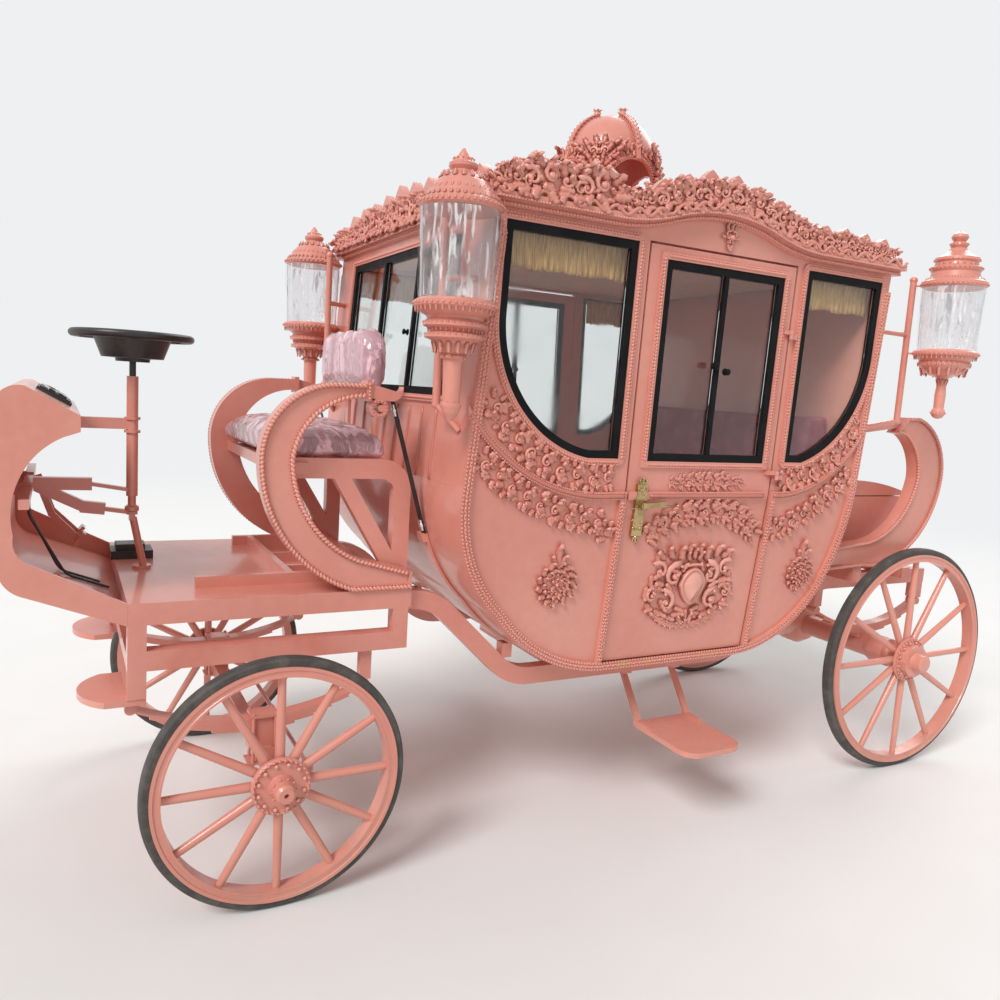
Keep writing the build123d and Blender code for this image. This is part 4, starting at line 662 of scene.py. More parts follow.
def make_film_group():
    """Clear film pulled over something: long creases and small crackles."""
    tree, given, out = group_tree(
        "Wrinkled film", (("Vector", "vector"), ("Tone", "color"), ("Glint", "color")),
        (("Color", "color"), ("Crease", "value"), ("Height", "value")))
    stretch = drawn_out(tree, given, "Vector", 0.45)
    fold = noise(tree, stretch, "Vector", Scale=9.0, Detail=5.0, Roughness=0.7, Distortion=1.6)
    crackle = node(tree, "ShaderNodeTexVoronoi", Scale=26.0, feature="DISTANCE_TO_EDGE")
    warp = node(tree, "ShaderNodeVectorMath", operation="ADD")
    wire(tree, stretch, "Vector", warp, 0)
    wire(tree, fold, "Color", warp, 1)
    wire(tree, warp, "Vector", crackle, "Vector")
    ridge = ranged(tree, fold, "Fac", 0.45, 0.55, 0.0, 1.0, True)
    line = ranged(tree, crackle, "Distance", 0.0, 0.10, 1.0, 0.0, True)
    both_lines = maths(tree, "MAXIMUM", maths(tree, "MULTIPLY", line, "Result", 0.8), "Value", (ridge, "Result"))
    glint = maths(tree, "MULTIPLY", line, "Result", (ranged(tree, fold, "Fac", 0.48, 0.62, 0.0, 0.8), "Result"))
    wire(tree, blended(tree, glint, "Value", (given, "Tone"), (given, "Glint")), "Result", out, "Color")
    wire(tree, glint, "Value", out, "Crease")
    wire(tree, both_lines, "Value", out, "Height")
    return tree


def make_grain_group():
    """Fine moulded grain with scuffs, for rubber, plastic and cast metal."""
    tree, given, out = group_tree(
        "Fine grain", (("Vector", "vector"), ("Base", "color"), ("Worn", "color"), ("Scale", "value")),
        (("Color", "color"), ("Wear", "value"), ("Height", "value")))
    grain = noise(tree, given, "Vector", Detail=4.0)
    wire(tree, given, "Scale", grain, "Scale")
    wear = noise(tree, given, "Vector", Scale=11.0, Detail=6.0, Roughness=0.7)
    mask = ranged(tree, wear, "Fac", 0.45, 0.70, 0.0, 0.8)
    wire(tree, blended(tree, mask, "Result", (given, "Base"), (given, "Worn")), "Result", out, "Color")
    wire(tree, mask, "Result", out, "Wear")
    wire(tree, grain, "Fac", out, "Height")
    return tree


def material(name, roughness, strength, distance, **sockets):
    """A material with its shader, object coordinates and a bump, ready to be wired."""
    m = bpy.data.materials.new(name)
    m.use_nodes = True
    tree = m.node_tree
    shader = tree.nodes["Principled BSDF"]
    for key, value in {"Roughness": roughness, **sockets}.items():
        shader.inputs[key.replace("_", " ")].default_value = value
    where = node(tree, "ShaderNodeTexCoord")
    bump = node(tree, "ShaderNodeBump", Strength=strength, Distance=distance)
    wire(tree, bump, "Normal", shader, "Normal")
    finishes[name] = m
    return tree, shader, where, bump


def placed_group(tree, group, shader, where, bump, **values):
    """A finish's group on the object's coordinates, wired to the shader's colour and to the bump."""
    n = node(tree, "ShaderNodeGroup", node_tree=group)
    wire(tree, where, "Object", n, "Vector")
    for key, value in values.items():
        n.inputs[key].default_value = (*value, 1) if hasattr(value, "__len__") else value
    wire(tree, n, "Color", shader, "Base Color")
    wire(tree, n, "Height", bump, "Height")
    return n


def paint_material(name, group, paint, chalk_and_highlight, soil):
    tree, shader, where, bump = material(name, 0.4, 0.35, 0.0012, Coat_Weight=0.45, Coat_Roughness=0.10)
    n = placed_group(tree, group, shader, where, bump, Paint=paint, Chalk=chalk_and_highlight, Soil=soil)
    wire(tree, n, "Roughness", shader, "Roughness")
    return tree, shader, where, n


def add_scuffs(tree, shader, where, painted, spots):
    """Rubbed spots of another paint, each at (x, y, z, radius) in metres."""
    edge = noise(tree, where, Scale=55.0, Detail=3.0)
    ragged = ranged(tree, edge, "Fac", 0.2, 0.8, -0.016, 0.016)
    total, output = None, "Result"
    for x, y, z, radius in spots:
        away = node(tree, "ShaderNodeVectorMath", operation="DISTANCE")
        away.inputs[1].default_value = (x, y, z)
        wire(tree, where, "Object", away, 0)
        rough_edge = maths(tree, "ADD", away, "Value", (ragged, "Result"))
        mask = ranged(tree, rough_edge, "Value", radius, radius * 0.7, 0.0, 0.8)
        if total is not None:
            total, output = maths(tree, "MAXIMUM", mask, "Result", (total, output)), "Value"
        else:
            total = mask
    wire(tree, blended(tree, total, output, (painted, "Color"), SCUFF), "Result", shader, "Base Color")


def carved_material(name, group, settings, deep, high):
    """Paint on carving, by the relief attribute: painted shade in the hollows, and what stands out paler, partly chalky
    wear and partly painted highlight.
    """
    tree, shader, where, bump = material(name, 0.4, 0.4, 0.0012, Coat_Weight=0.25, Coat_Roughness=0.18)
    n = placed_group(
        tree, group, shader, where, bump, Paint=settings.paint, Chalk=settings.chalk_and_highlight, Soil=settings.soil)
    relief = node(tree, "ShaderNodeAttribute", attribute_name="relief")
    # Painted shade: the hollows are darkened towards the recess colour by the relief attribute.
    hollow_shade = ranged(tree, relief, "Fac", 0.55, 0.0, 0.0, deep)
    shaded_in_hollows = blended(tree, hollow_shade, "Result", (n, "Color"), tuple(settings.recess_shade))
    # What stands out is paler: partly chalky wear, partly painted highlight.
    tips = ranged(tree, relief, "Fac", 0.55, 1.0, 0.0, high)
    worn = blended(tree, tips, "Result", (shaded_in_hollows, "Result"), tuple(settings.chalk_and_highlight))
    wire(tree, worn, "Result", shader, "Base Color")
    wire(tree, n, "Roughness", shader, "Roughness")


def grain_material(name, group, base, worn, scale, roughness, strength, distance, **sockets):
    tree, shader, where, bump = material(name, roughness, strength, distance, **sockets)
    n = placed_group(tree, group, shader, where, bump, Base=base, Worn=worn, Scale=scale)
    rough = ranged(tree, n, "Wear", 0.0, 0.8, roughness, min(1.0, roughness + 0.18))
    wire(tree, rough, "Result", shader, "Roughness")
    return tree, where, bump, n


def clear_material(name, colour, roughness, waves, strength):
    """Clear glass or acrylic that lets the key light through; its surface waves a little."""
    tree, shader, where, bump = material(name, roughness, strength, 0.001, Transmission_Weight=1.0, IOR=1.45)
    wire(tree, noise(tree, where, Scale=waves, Detail=2.0), "Fac", bump, "Height")
    smear = noise(tree, where, Scale=5.0, Detail=4.0)
    wire(tree, ranged(tree, smear, "Fac", 0.45, 0.75, roughness, roughness + 0.10), "Result", shader, "Roughness")
    tint = blended(tree, ranged(tree, smear, "Fac", 0.5, 0.8, 0.0, 0.25), "Result", colour, (0.80, 0.82, 0.80))
    wire(tree, tint, "Result", shader, "Base Color")
    see_through = node(tree, "ShaderNodeBsdfTransparent", Color=(0.93, 0.95, 0.94, 1))
    path = node(tree, "ShaderNodeLightPath")
    shader_mix(tree, path, "Is Shadow Ray", (shader, "BSDF"), (see_through, "BSDF"))


def film_material(name, group, tone, glint, roughness, strength, distance):
    tree, shader, where, bump = material(
        name, roughness, strength, distance, Coat_Weight=0.9, Coat_Roughness=0.06)
    n = placed_group(tree, group, shader, where, bump, Tone=tone, Glint=glint)
    wire(tree, ranged(tree, n, "Crease", 0.0, 1.0, roughness, 0.12), "Result", shader, "Roughness")


def gold_thread_material(name, thread, lit):
    """Hanging gold threads: fine upright strands, some brighter."""
    tree, shader, where, bump = material(name, 0.55, 0.9, 0.002, Sheen_Weight=0.3)
    strand = noise(tree, drawn_out(tree, where, "Object", 0.03), "Vector", Scale=330.0, Detail=2.0)
    tone = blended(tree, ranged(tree, strand, "Fac", 0.35, 0.65, 0.0, 1.0), "Result", thread, lit)
    wire(tree, tone, "Result", shader, "Base Color")
    wire(tree, strand, "Fac", bump, "Height")


def creased_clear_material(name):
    """Clear film round the lamps: see-through, with upright creases painted brighter as highlights."""
    tree, shader, where, bump = material(name, 0.14, 0.9, 0.004, Coat_Weight=0.6)
    fold = noise(tree, drawn_out(tree, where, "Object", 0.16), "Vector", Scale=46.0, Detail=4.0, Distortion=0.7)
    crease_highlight = ranged(tree, fold, "Fac", 0.4, 0.7, 0.0, 1.0)
    # Painted highlight: the creases are lightened towards near-white.
    tone = blended(tree, crease_highlight, "Result", (0.78, 0.74, 0.75), (0.97, 0.97, 0.98))
    wire(tree, tone, "Result", shader, "Base Color")
    wire(tree, ranged(tree, fold, "Fac", 0.52, 0.66, 0.06, 0.66, True), "Result", shader, "Alpha")
    wire(tree, fold, "Fac", bump, "Height")


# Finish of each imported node; every node that isn't named here is plain sprayed paint.
NODE_FINISHES = {
    "scuffed paint": ("side_panel_left",),
    "tyre rubber": ("front_tyre_left", "front_tyre_right", "rear_tyre_left", "rear_tyre_right"),
    "black frame": ("window_frames", "door_frame_left", "door_frame_right"),
    "black plastic": ("instrument_panel", "steering_wheel", "floor_pedal", "control_cables"),
    "window glass": ("window_glass", "door_glass_left", "door_glass_right"),
    "lamp acrylic": ("lamp_glass",),
    "gilt": ("door_handle_left", "door_handle_right"),
    "battery case": ("battery_pack",),
    "strap webbing": ("straps",),
    "film on lavender": ("driver_cushion", "bench_cushions"),
    "film on pink": ("driver_backrest",),
}

# Grained finishes: name, base colour, worn colour, grain, roughness, strength and depth of the bump, other sockets.
GRAINED = (
    ("black frame", (0.006, 0.006, 0.007), (0.016, 0.016, 0.018), 300.0, 0.50, 0.15, 0.0005,
     {"Specular_IOR_Level": 0.12}),
    ("black plastic", (0.022, 0.018, 0.018), (0.06, 0.05, 0.05), 420.0, 0.36, 0.3, 0.0006, {}),
    ("battery case", (0.03, 0.03, 0.035), (0.08, 0.08, 0.08), 200.0, 0.5, 0.3, 0.0008, {}),
    ("strap webbing", (0.012, 0.010, 0.012), (0.04, 0.035, 0.035), 600.0, 0.55, 0.8, 0.0012, {}),
    ("gilt", (0.52, 0.38, 0.19), (0.22, 0.16, 0.08), 150.0, 0.26, 0.7, 0.0012, {"Metallic": 1.0}),
    ("chrome", (0.72, 0.72, 0.72), (0.45, 0.45, 0.45), 120.0, 0.14, 0.2, 0.0004, {"Metallic": 1.0}),
    ("ceiling cloth", (0.74, 0.48, 0.36), (0.82, 0.60, 0.48), 700.0, 0.8, 0.6, 0.001, {}),
    ("seat plush", (0.34, 0.080, 0.105), (0.46, 0.16, 0.19), 900.0, 0.8, 0.5, 0.001, {}),
)

# Yellow-green paint rubbed on below the left door: x and z in millimetres, radius in metres.
SCUFF = (0.62, 0.55, 0.06)
SCUFF_Y = 783
SCUFFS = ((1826, 742, 0.030), (1800, 738, 0.022), (1693, 738, 0.024), (1387, 744, 0.026), (1340, 744, 0.024),
          (1305, 744, 0.018))
TYRE_RIB = 0.0115


class CARRIAGE_OT_finishes(bpy.types.Operator):
    """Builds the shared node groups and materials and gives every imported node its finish"""
    bl_idname = "carriage.finishes"
    bl_label = "Finishes"

    def execute(self, context):
        settings = context.scene.carriage_paint
        paint = make_paint_group()
        grain = make_grain_group()
        film = make_film_group()
        colours = (tuple(settings.paint), tuple(settings.chalk_and_highlight), tuple(settings.soil))
        paint_material("paint", paint, *colours)
        scuffs = [(*place(x, SCUFF_Y, z), radius) for x, z, radius in SCUFFS]
        add_scuffs(*paint_material("scuffed paint", paint, *colours), scuffs)
        # The last two numbers: how much painted shade goes into the hollows, and how much paler the raised parts get,
        # partly chalky wear and partly painted highlight.
        carved_material("carved paint", paint, settings, 0.70, 0.75)
        carved_material("bead paint", paint, settings, 0.55, 0.75)
        carved_material("wave paint", paint, settings, 0.0, 0.45)
        tree, where, bump, n = grain_material(
            "tyre rubber", grain, (0.055, 0.050, 0.046), (0.15, 0.135, 0.115), 160.0, 0.62, 0.5, 0.0012)
        across = node(tree, "ShaderNodeSeparateXYZ")
        wire(tree, where, "Object", across, "Vector")
        ribs = maths(tree, "SINE", maths(tree, "MULTIPLY", across, "Y", 2 * pi / TYRE_RIB), "Value", 0.0)
        deep = maths(tree, "MULTIPLY", ribs, "Value", 1.4)
        wire(tree, maths(tree, "ADD", n, "Height", (deep, "Value")), "Value", bump, "Height")
        for name, base, worn, scale, roughness, strength, distance, sockets in GRAINED:
            grain_material(name, grain, base, worn, scale, roughness, strength, distance, **sockets)
        clear_material("window glass", (0.90, 0.93, 0.92), 0.015, 3.0, 0.05)
        clear_material("lamp acrylic", (0.95, 0.95, 0.96), 0.06, 26.0, 0.55)
        gold_thread_material("gold fringe", (0.38, 0.170, 0.045), (0.80, 0.46, 0.16))
        creased_clear_material("clear film")
        film_material("film on lavender", film, (0.72, 0.42, 0.47), (0.97, 0.90, 0.93), 0.42, 0.9, 0.006)
        film_material("film on pink", film, (0.93, 0.56, 0.63), (0.99, 0.92, 0.95), 0.40, 0.8, 0.006)
        named = {name: finish for finish, names in NODE_FINISHES.items() for name in names}
        for name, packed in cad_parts.items():
            packed.data.materials.clear()
            packed.data.materials.append(finishes[named.get(name, "paint")])
        return {"FINISHED"}


# The photograph's camera, in metres, degrees and millimetres, and the room.
CAMERA_AT = (2.1647, 3.5126, 1.8297)
CAMERA_YAW, CAMERA_PITCH, CAMERA_ROLL = radians(28.1273), radians(7.3682), radians(3.6072)
CAMERA_SENSOR, CAMERA_LENS = 36.0, 30.1687
FLOOR_RADIUS, FADE_FROM, FADE_TO = 16, 4.0, 14.0
ROOM_LIGHT, ROOM_SEEN = (1.0, 0.985, 0.97, 1), (0.86, 0.87, 0.88, 1)
# Sun lamps: name, share of the key setting, soft angle, tilt and turn in degrees.
SUNS = (("key", 1.0, 22, 48, 121), ("back", 0.45, 40, 50, -60))


class CARRIAGE_OT_stage(bpy.types.Operator):
    """Adds the camera, the pale floor that fades into the room, and the soft lights"""
    bl_idname = "carriage.stage"
    bl_label = "Stage"

    def execute(self, context):
        settings = context.scene.carriage_stage
        scene = context.scene
        scene.view_settings.view_transform = "Standard"
        clear_selection()
        bpy.ops.object.camera_add(location=CAMERA_AT)
        camera = context.object
        ahead = -Vector((sin(CAMERA_YAW) * cos(CAMERA_PITCH), cos(CAMERA_YAW) * cos(CAMERA_PITCH), sin(CAMERA_PITCH)))
        level = ahead.cross(Vector((0, 0, 1))).normalized()
        upright = level.cross(ahead)
        right = level * cos(CAMERA_ROLL) + upright * sin(CAMERA_ROLL)
        up = upright * cos(CAMERA_ROLL) - level * sin(CAMERA_ROLL)
        camera.matrix_world = Matrix.Translation(camera.location) @ Matrix((right, up, -ahead)).transposed().to_4x4()
        camera.data.sensor_fit = "HORIZONTAL"
        camera.data.sensor_width = CAMERA_SENSOR
        camera.data.lens = CAMERA_LENS
        scene.camera = camera

        clear_selection()
        bpy.ops.mesh.primitive_circle_add(vertices=96, radius=FLOOR_RADIUS, fill_type="NGON", location=(0, 0, 0))
        floor = settled(taken("floor"))
        tree, shader, where, _ = material("floor", 0.9, 1.0, 0.001)
        speck = noise(tree, where, Scale=2.0, Detail=4.0)
        tone = blended(tree, ranged(tree, speck, "Fac", 0.3, 0.7, 0.0, 1.0), "Result", tuple(settings.floor),
                       tuple(c * 0.975 for c in settings.floor))
        wire(tree, tone, "Result", shader, "Base Color")
        away = node(tree, "ShaderNodeVectorMath", operation="LENGTH")
        wire(tree, where, "Object", away, 0)
        gone = node(tree, "ShaderNodeBsdfTransparent")
        shader_mix(tree, ranged(tree, away, "Value", FADE_FROM, FADE_TO, 0.0, 1.0, True), "Result",
                   (shader, "BSDF"), (gone, "BSDF"))
        floor.data.materials.append(finishes["floor"])

        scene.world = bpy.data.worlds.new("Room")
        scene.world.use_nodes = True
        tree = scene.world.node_tree
        light = tree.nodes["Background"]
        light.inputs["Color"].default_value = ROOM_LIGHT
        light.inputs["Strength"].default_value = settings.sky
        seen = node(tree, "ShaderNodeBackground", Color=ROOM_SEEN, Strength=1.0)
        path = node(tree, "ShaderNodeLightPath")
        direct = maths(tree, "MAXIMUM", path, "Is Camera Ray", (path, "Is Transmission Ray"))
        either = maths(tree, "MAXIMUM", direct, "Value", (path, "Is Glossy Ray"))
        shader_mix(tree, either, "Value", (light, "Background"), (seen, "Background"), "World Output")

        for name, share, angle, tilt, turn in SUNS:
            clear_selection()
            bpy.ops.object.light_add(type="SUN", location=(0, 0, 6), rotation=(radians(tilt), 0, radians(turn)))
            lamp = context.object
            lamp.name = name
            lamp.data.energy = settings.key * share
            lamp.data.angle = radians(angle)
        return {"FINISHED"}


# ---------------------------------------------------------------- mouldings
def beads_on(face, line, step, radius, lift, closed=False, shift=0.0):
    return [unit_at("bead", face, u, v, turn, radius, lift) for u, v, turn in spaced(line, step, closed, shift)]


def moulded_band(face, line, lift, half, settings, closed=False):
    """A textured band between two lines of beads, as on the rim and the pillars."""
    r, step = settings.bead / MM, settings.bead_step / MM
    placed = []
    for shift in (-half, half):
        placed += beads_on(face, line, step, r, lift, closed, shift)
    for k, (u, v, turn) in enumerate(spaced(line, 13.5, closed)):
        lean = 34 if k % 2 else -34
        placed.append(unit_at("rice", face, u, v, turn + lean, (5.8, 12.0, 8.0), lift - 1))
    return placed


class CARRIAGE_OT_units(bpy.types.Operator):
    """Models the small shapes that the mouldings and the carving repeat"""
    bl_idname = "carriage.units"
    bl_label = "Carved units"

    def execute(self, context):
        bead_unit("bead", 1)
        bead_unit("berry", 2)
        bead_unit("rice", 1)
        leaf_unit("leaf")
        leaf_unit("curled_leaf", 0.75, 0.16)
        scroll_unit("scroll")
        return {"FINISHED"}


class CARRIAGE_OT_window_beads(bpy.types.Operator):
    """Strings beads round every window of the sides and the front"""
    bl_idname = "carriage.window_beads"
    bl_label = "Window beads"

    def execute(self, context):
        settings = context.scene.carriage_ornament
        finish = finishes["bead paint"]
        r, step = settings.bead / MM, settings.bead_step / MM
        for name, line, body in (
                ("front_light_beads", FRONT_LIGHT, "carriage"), ("rear_light_beads", REAR_LIGHT, "carriage"),
                ("door_light_beads", DOOR_LIGHT, "door")):
            area = sum(a[0] * b[1] - b[0] * a[1] for a, b in zip(line, line[1:] + line[:1]))
            out = -1 if area > 0 else 1
            placed = [unit_at("rice", on_side, u, v, turn + 32, (6.2, 10.5, 6.5), 8.5)
                      for u, v, turn in spaced(line, 13.0, True, out * 13)]
            placed += beads_on(on_side, line, step, r * 0.8, 9, True, out * 22.5)
            both(assembled(name, placed), body, finish)
        half, low, high = 653, 1787, 2413
        line = [(-half, low), (half, low), (half, high), (-half, high)]
        placed = [unit_at("rice", on_front, u, v, turn + 32, (6.2, 10.5, 6.5), 9.5)
                  for u, v, turn in spaced(line, 13.0, True)]
        kept(assembled("front_window_beads", placed), "carriage", finish)
        return {"FINISHED"}


class CARRIAGE_OT_mouldings(bpy.types.Operator):
    """Dresses the body's rim, the belt and the door pillars with beads and stippled bands"""
    bl_idname = "carriage.mouldings"
    bl_label = "Body mouldings"

    def execute(self, context):
        settings = context.scene.carriage_ornament
        finish = finishes["bead paint"]
        both(assembled("rim_moulding", moulded_band(on_side, RIM, 14, 13, settings)), "carriage", finish)
        pillars = moulded_band(on_side, [(1948, 760), (1948, 1432)], 14, 9, settings)
        pillars += moulded_band(on_side, [(1146, 760), (1146, 1432)], 14, 9, settings)
        both(assembled("pillar_mouldings", pillars), "carriage", finish)
        for name, line, body in (
                ("belt_front_moulding", BELT_FRONT, "carriage"), ("belt_rear_moulding", BELT_REAR, "carriage"),
                ("belt_door_moulding", BELT_DOOR, "door")):
            placed = []
            for shift in (-11, 11):
                placed += beads_on(on_side, line, 11.5, 4.6, 14, False, shift)
            round_line = [on_side(u, v, 13)[0] for u, v, _ in spaced(line, 22)]
            both(joined(name, [assembled(name, placed), tube(name + "_round", round_line, 0.0085, 8)]), body, finish)
        return {"FINISHED"}


class CARRIAGE_OT_cornice(bpy.types.Operator):
    """Runs rope, beads and the wavy edge round the cornice"""
    bl_idname = "carriage.cornice"
    bl_label = "Cornice"

    def execute(self, context):
        finish = finishes["bead paint"]
        front, back = FRONT_EAVE_X + 30, REAR_EAVE_X - 30

        def eave(z, count=70):
            xs = [front + (back - front) * i / count for i in range(count + 1)]
            return [(x, z + arch_height(x)) for x in xs]

        lower = on_plate(EAVE_Y + 22)
        upper = on_plate(EAVE_Y + 50)
        placed = [unit_at("rice", lower, u, v, t + 32, (6.5, 11, 6.5), 0)
                  for u, v, t in spaced(eave(EAVE_Z + 8), 14)]
        placed += [unit_at("rice", upper, u, v, t - 32, (5.5, 9.5, 5.0), 0)
                   for u, v, t in spaced(eave(EAVE_Z + 24), 12)]
        rope = assembled("cornice_rope", placed)
        both(rope, "carriage", finish)
        ends = []
        for sign, x in ((1, FRONT_EAVE_X), (-1, REAR_EAVE_X)):
            low_face, high_face = on_cross(x + sign * 15, sign), on_cross(x + sign * 34, sign)
            for face, z, size in ((low_face, EAVE_Z + 8, (6.5, 11, 6.5)), (high_face, EAVE_Z + 24, (5.5, 9.5, 5.0))):
                ends += [unit_at("rice", face, u, v, t + 32, size, 0)
                         for u, v, t in spaced([(-EAVE_Y - 20, z), (EAVE_Y + 20, z)], 14)]
        kept(assembled("cornice_end_rope", ends), "carriage", finish)
        wave = []
        count = 300
        for i in range(count + 1):
            x = front + (back - front) * i / count
            swing = sin(2 * pi * (x - front) / 100)
            wave.append(place(x, EAVE_Y + 50, CORNICE_TOP_Z + 6 + arch_height(x) + 13 * swing))
        both(tube("cornice_wave", wave, 0.0068, 6), "carriage", finishes["wave paint"])
        return {"FINISHED"}


# Tops of the cresting along the side: x and z.
CREST_TOPS = (
    (2690, 2560), (2600, 2590), (2500, 2640), (2429, 2681), (2365, 2645), (2305, 2658), (2235, 2674), (2190, 2692),
    (2148, 2660), (2099, 2610), (2053, 2600), (1995, 2604), (1953, 2642), (1933, 2671), (1829, 2678), (1793, 2695),
    (1718, 2690), (1638, 2729), (1569, 2711), (1453, 2707), (1380, 2686), (1294, 2655), (1200, 2640), (1115, 2604),
    (937, 2612), (820, 2590), (713, 2598), (600, 2570))

# One motif of the cresting, in shares of its height: unit, across, up, turn, length, width, relief, outward lift.
CREST_MOTIF = (
    ("scroll", -0.22, 0.46, 40, 0.78, 0.78, 0.42, 8),
    ("scroll_back", 0.34, 0.30, 140, 0.56, 0.56, 0.44, 10),
    ("curled_leaf", -0.26, 0.52, 96, 0.46, 0.50, 0.46, 12),
    ("curled_leaf", -0.44, 0.50, 140, 0.42, 0.46, 0.46, 8),
    ("curled_leaf", -0.04, 0.56, 52, 0.42, 0.46, 0.46, 8),
    ("leaf", 0.10, 0.60, 80, 0.38, 0.42, 0.40, 2),
    ("curled_leaf", 0.34, 0.46, 70, 0.42, 0.46, 0.44, 8),
    ("curled_leaf", 0.50, 0.30, 18, 0.40, 0.42, 0.40, 8),
    ("leaf", -0.50, 0.22, 186, 0.44, 0.44, 0.40, 10),
    ("leaf", -0.20, 0.10, 232, 0.36, 0.46, 0.44, 16),
    ("leaf", 0.06, 0.16, 300, 0.38, 0.46, 0.44, 16),
    ("leaf", 0.30, 0.06, 330, 0.40, 0.44, 0.40, 14),
    ("leaf", -0.40, 0.04, 20, 0.44, 0.42, 0.40, 12),
    ("berry", -0.22, 0.46, 0, 0.10, 0.10, 0.11, 14),
    ("berry", 0.34, 0.30, 0, 0.075, 0.075, 0.08, 14),
    ("berry", 0.10, 0.36, 0, 0.06, 0.06, 0.07, 18),
)


def crest_run(faces, start, end, base_of, top_of, seed):
    """Carved motifs side by side from start to end; faces are the outer and the inner face."""
    rng = random.Random(seed)
    placed = []
    way = 1 if end > start else -1
    for face in faces:
        spot, over = start, 1
        while (end - spot) * way > 20:
            base = base_of(spot)
            height = max(54, top_of(spot) - base)
            width = height * 0.88
            for unit, across, up, turn, long, wide, high, lift in CREST_MOTIF:
                size = height * rng.uniform(0.78, 1.02)
                u = spot + across * over * width + rng.uniform(-6, 6)
                v = base_of(u) + up * height * 0.88 + rng.uniform(-3, 3)
                angle = (180 - turn if over < 0 else turn) + rng.uniform(-18, 18)
                placed.append(unit_at(
                    handed(unit, over), face, u, v, angle, (size * wide, size * long, size * high), lift))
            spot += way * width * rng.uniform(0.78, 0.98)
            over = -over
    return placed


def between(table, x):
    """Height at x along a table of (x, z) from front to back."""
    for (x0, z0), (x1, z1) in zip(table, table[1:]):
        if x1 <= x <= x0:
            return z1 + (z0 - z1) * (x - x1) / (x0 - x1)
    return table[0][1] if x > table[0][0] else table[-1][1]


class CARRIAGE_OT_cresting(bpy.types.Operator):
    """Carves the foliage that stands on the cornice, on all four sides"""
    bl_idname = "carriage.cresting"
    bl_label = "Cresting"

    def execute(self, context):
        finish = finishes["carved paint"]
        mid = EAVE_Y + 18
        faces = (on_plate(mid + 10), on_plate(mid - 12, -1))
        placed = crest_run(
            faces, 2585, 585, lambda x: CORNICE_TOP_Z + 12 + arch_height(x), lambda x: between(CREST_TOPS, x) - 6, 11)
        both(assembled("side_cresting_carving", placed), "carriage", finish)
        for name, x, sign, seed in (
                ("front_cresting_carving", FRONT_EAVE_X + 18, 1, 5),
                ("rear_cresting_carving", REAR_EAVE_X - 18, -1, 6)):
            faces = (on_cross(x + sign * 10, sign), on_cross(x - sign * 10, -sign))
            placed = crest_run(
                faces, -862, 862, lambda y: CORNICE_TOP_Z + 8,
                lambda y: 2584 + 46 * cos(y / 860 * pi / 2) + 10 * sin(y / 70), seed)
            kept(assembled(name, placed), "carriage", finish)
        return {"FINISHED"}


CROWN_X, CROWN_R, CROWN_H, CROWN_RING, CROWN_TOP_R = 1560, 235, 495, 60, 78
ARCH_HALF, ARCH_SPRING = 125, 148


def crown_point(share):
    """The dome's outline: share 0 at its foot, 1 at its top; radius and height in mm."""
    r, h = CROWN_R, CROWN_H - CROWN_RING
    line = [(r * 0.86, 0), *arc((r * 0.86, 0), (r, h * 0.38), (r * 0.93, h * 0.62), 10),
            *arc((r * 0.93, h * 0.62), (r * 0.6, h * 0.92), (CROWN_TOP_R, h), 10)]
    s = share * (len(line) - 1)
    i = min(int(s), len(line) - 2)
    a, b = line[i], line[i + 1]
    t = s - i
    return a[0] + (b[0] - a[0]) * t, a[1] + (b[1] - a[1]) * t + CROWN_RING


def on_dome(angle, lift):
    """A face that follows the dome's outline at one angle: u across, v is the share up the outline."""
    def face(u, v, more):
        r, h = crown_point(v)
        r2, h2 = crown_point(min(1.0, v + 0.03))
        r0, h0 = crown_point(max(0.0, v - 0.03))
        radial = Vector((cos(angle), sin(angle), 0))
        across = Vector((-sin(angle), cos(angle), 0))
        up = (radial * (r2 - r0) + Vector((0, 0, h2 - h0))).normalized()
        out = across.cross(up).normalized()
        spot = place(CROWN_X, 0, ROOF_TOP_Z) + (radial * r + Vector((0, 0, h)) + across * u) * MM
        return spot + out * ((lift + more) * MM), across, up, out
    return face


def round_crown(angle, radius, height):
    """A place on the crown at one angle, with axes across, up and outward."""
    return round_place(CROWN_X, 0, ROOF_TOP_Z + height, angle, radius)


def dome_share(height):
    """The share up the dome's outline at which it reaches a height."""
    return min((abs(crown_point(i / 60)[1] - height), i / 60) for i in range(61))[1]


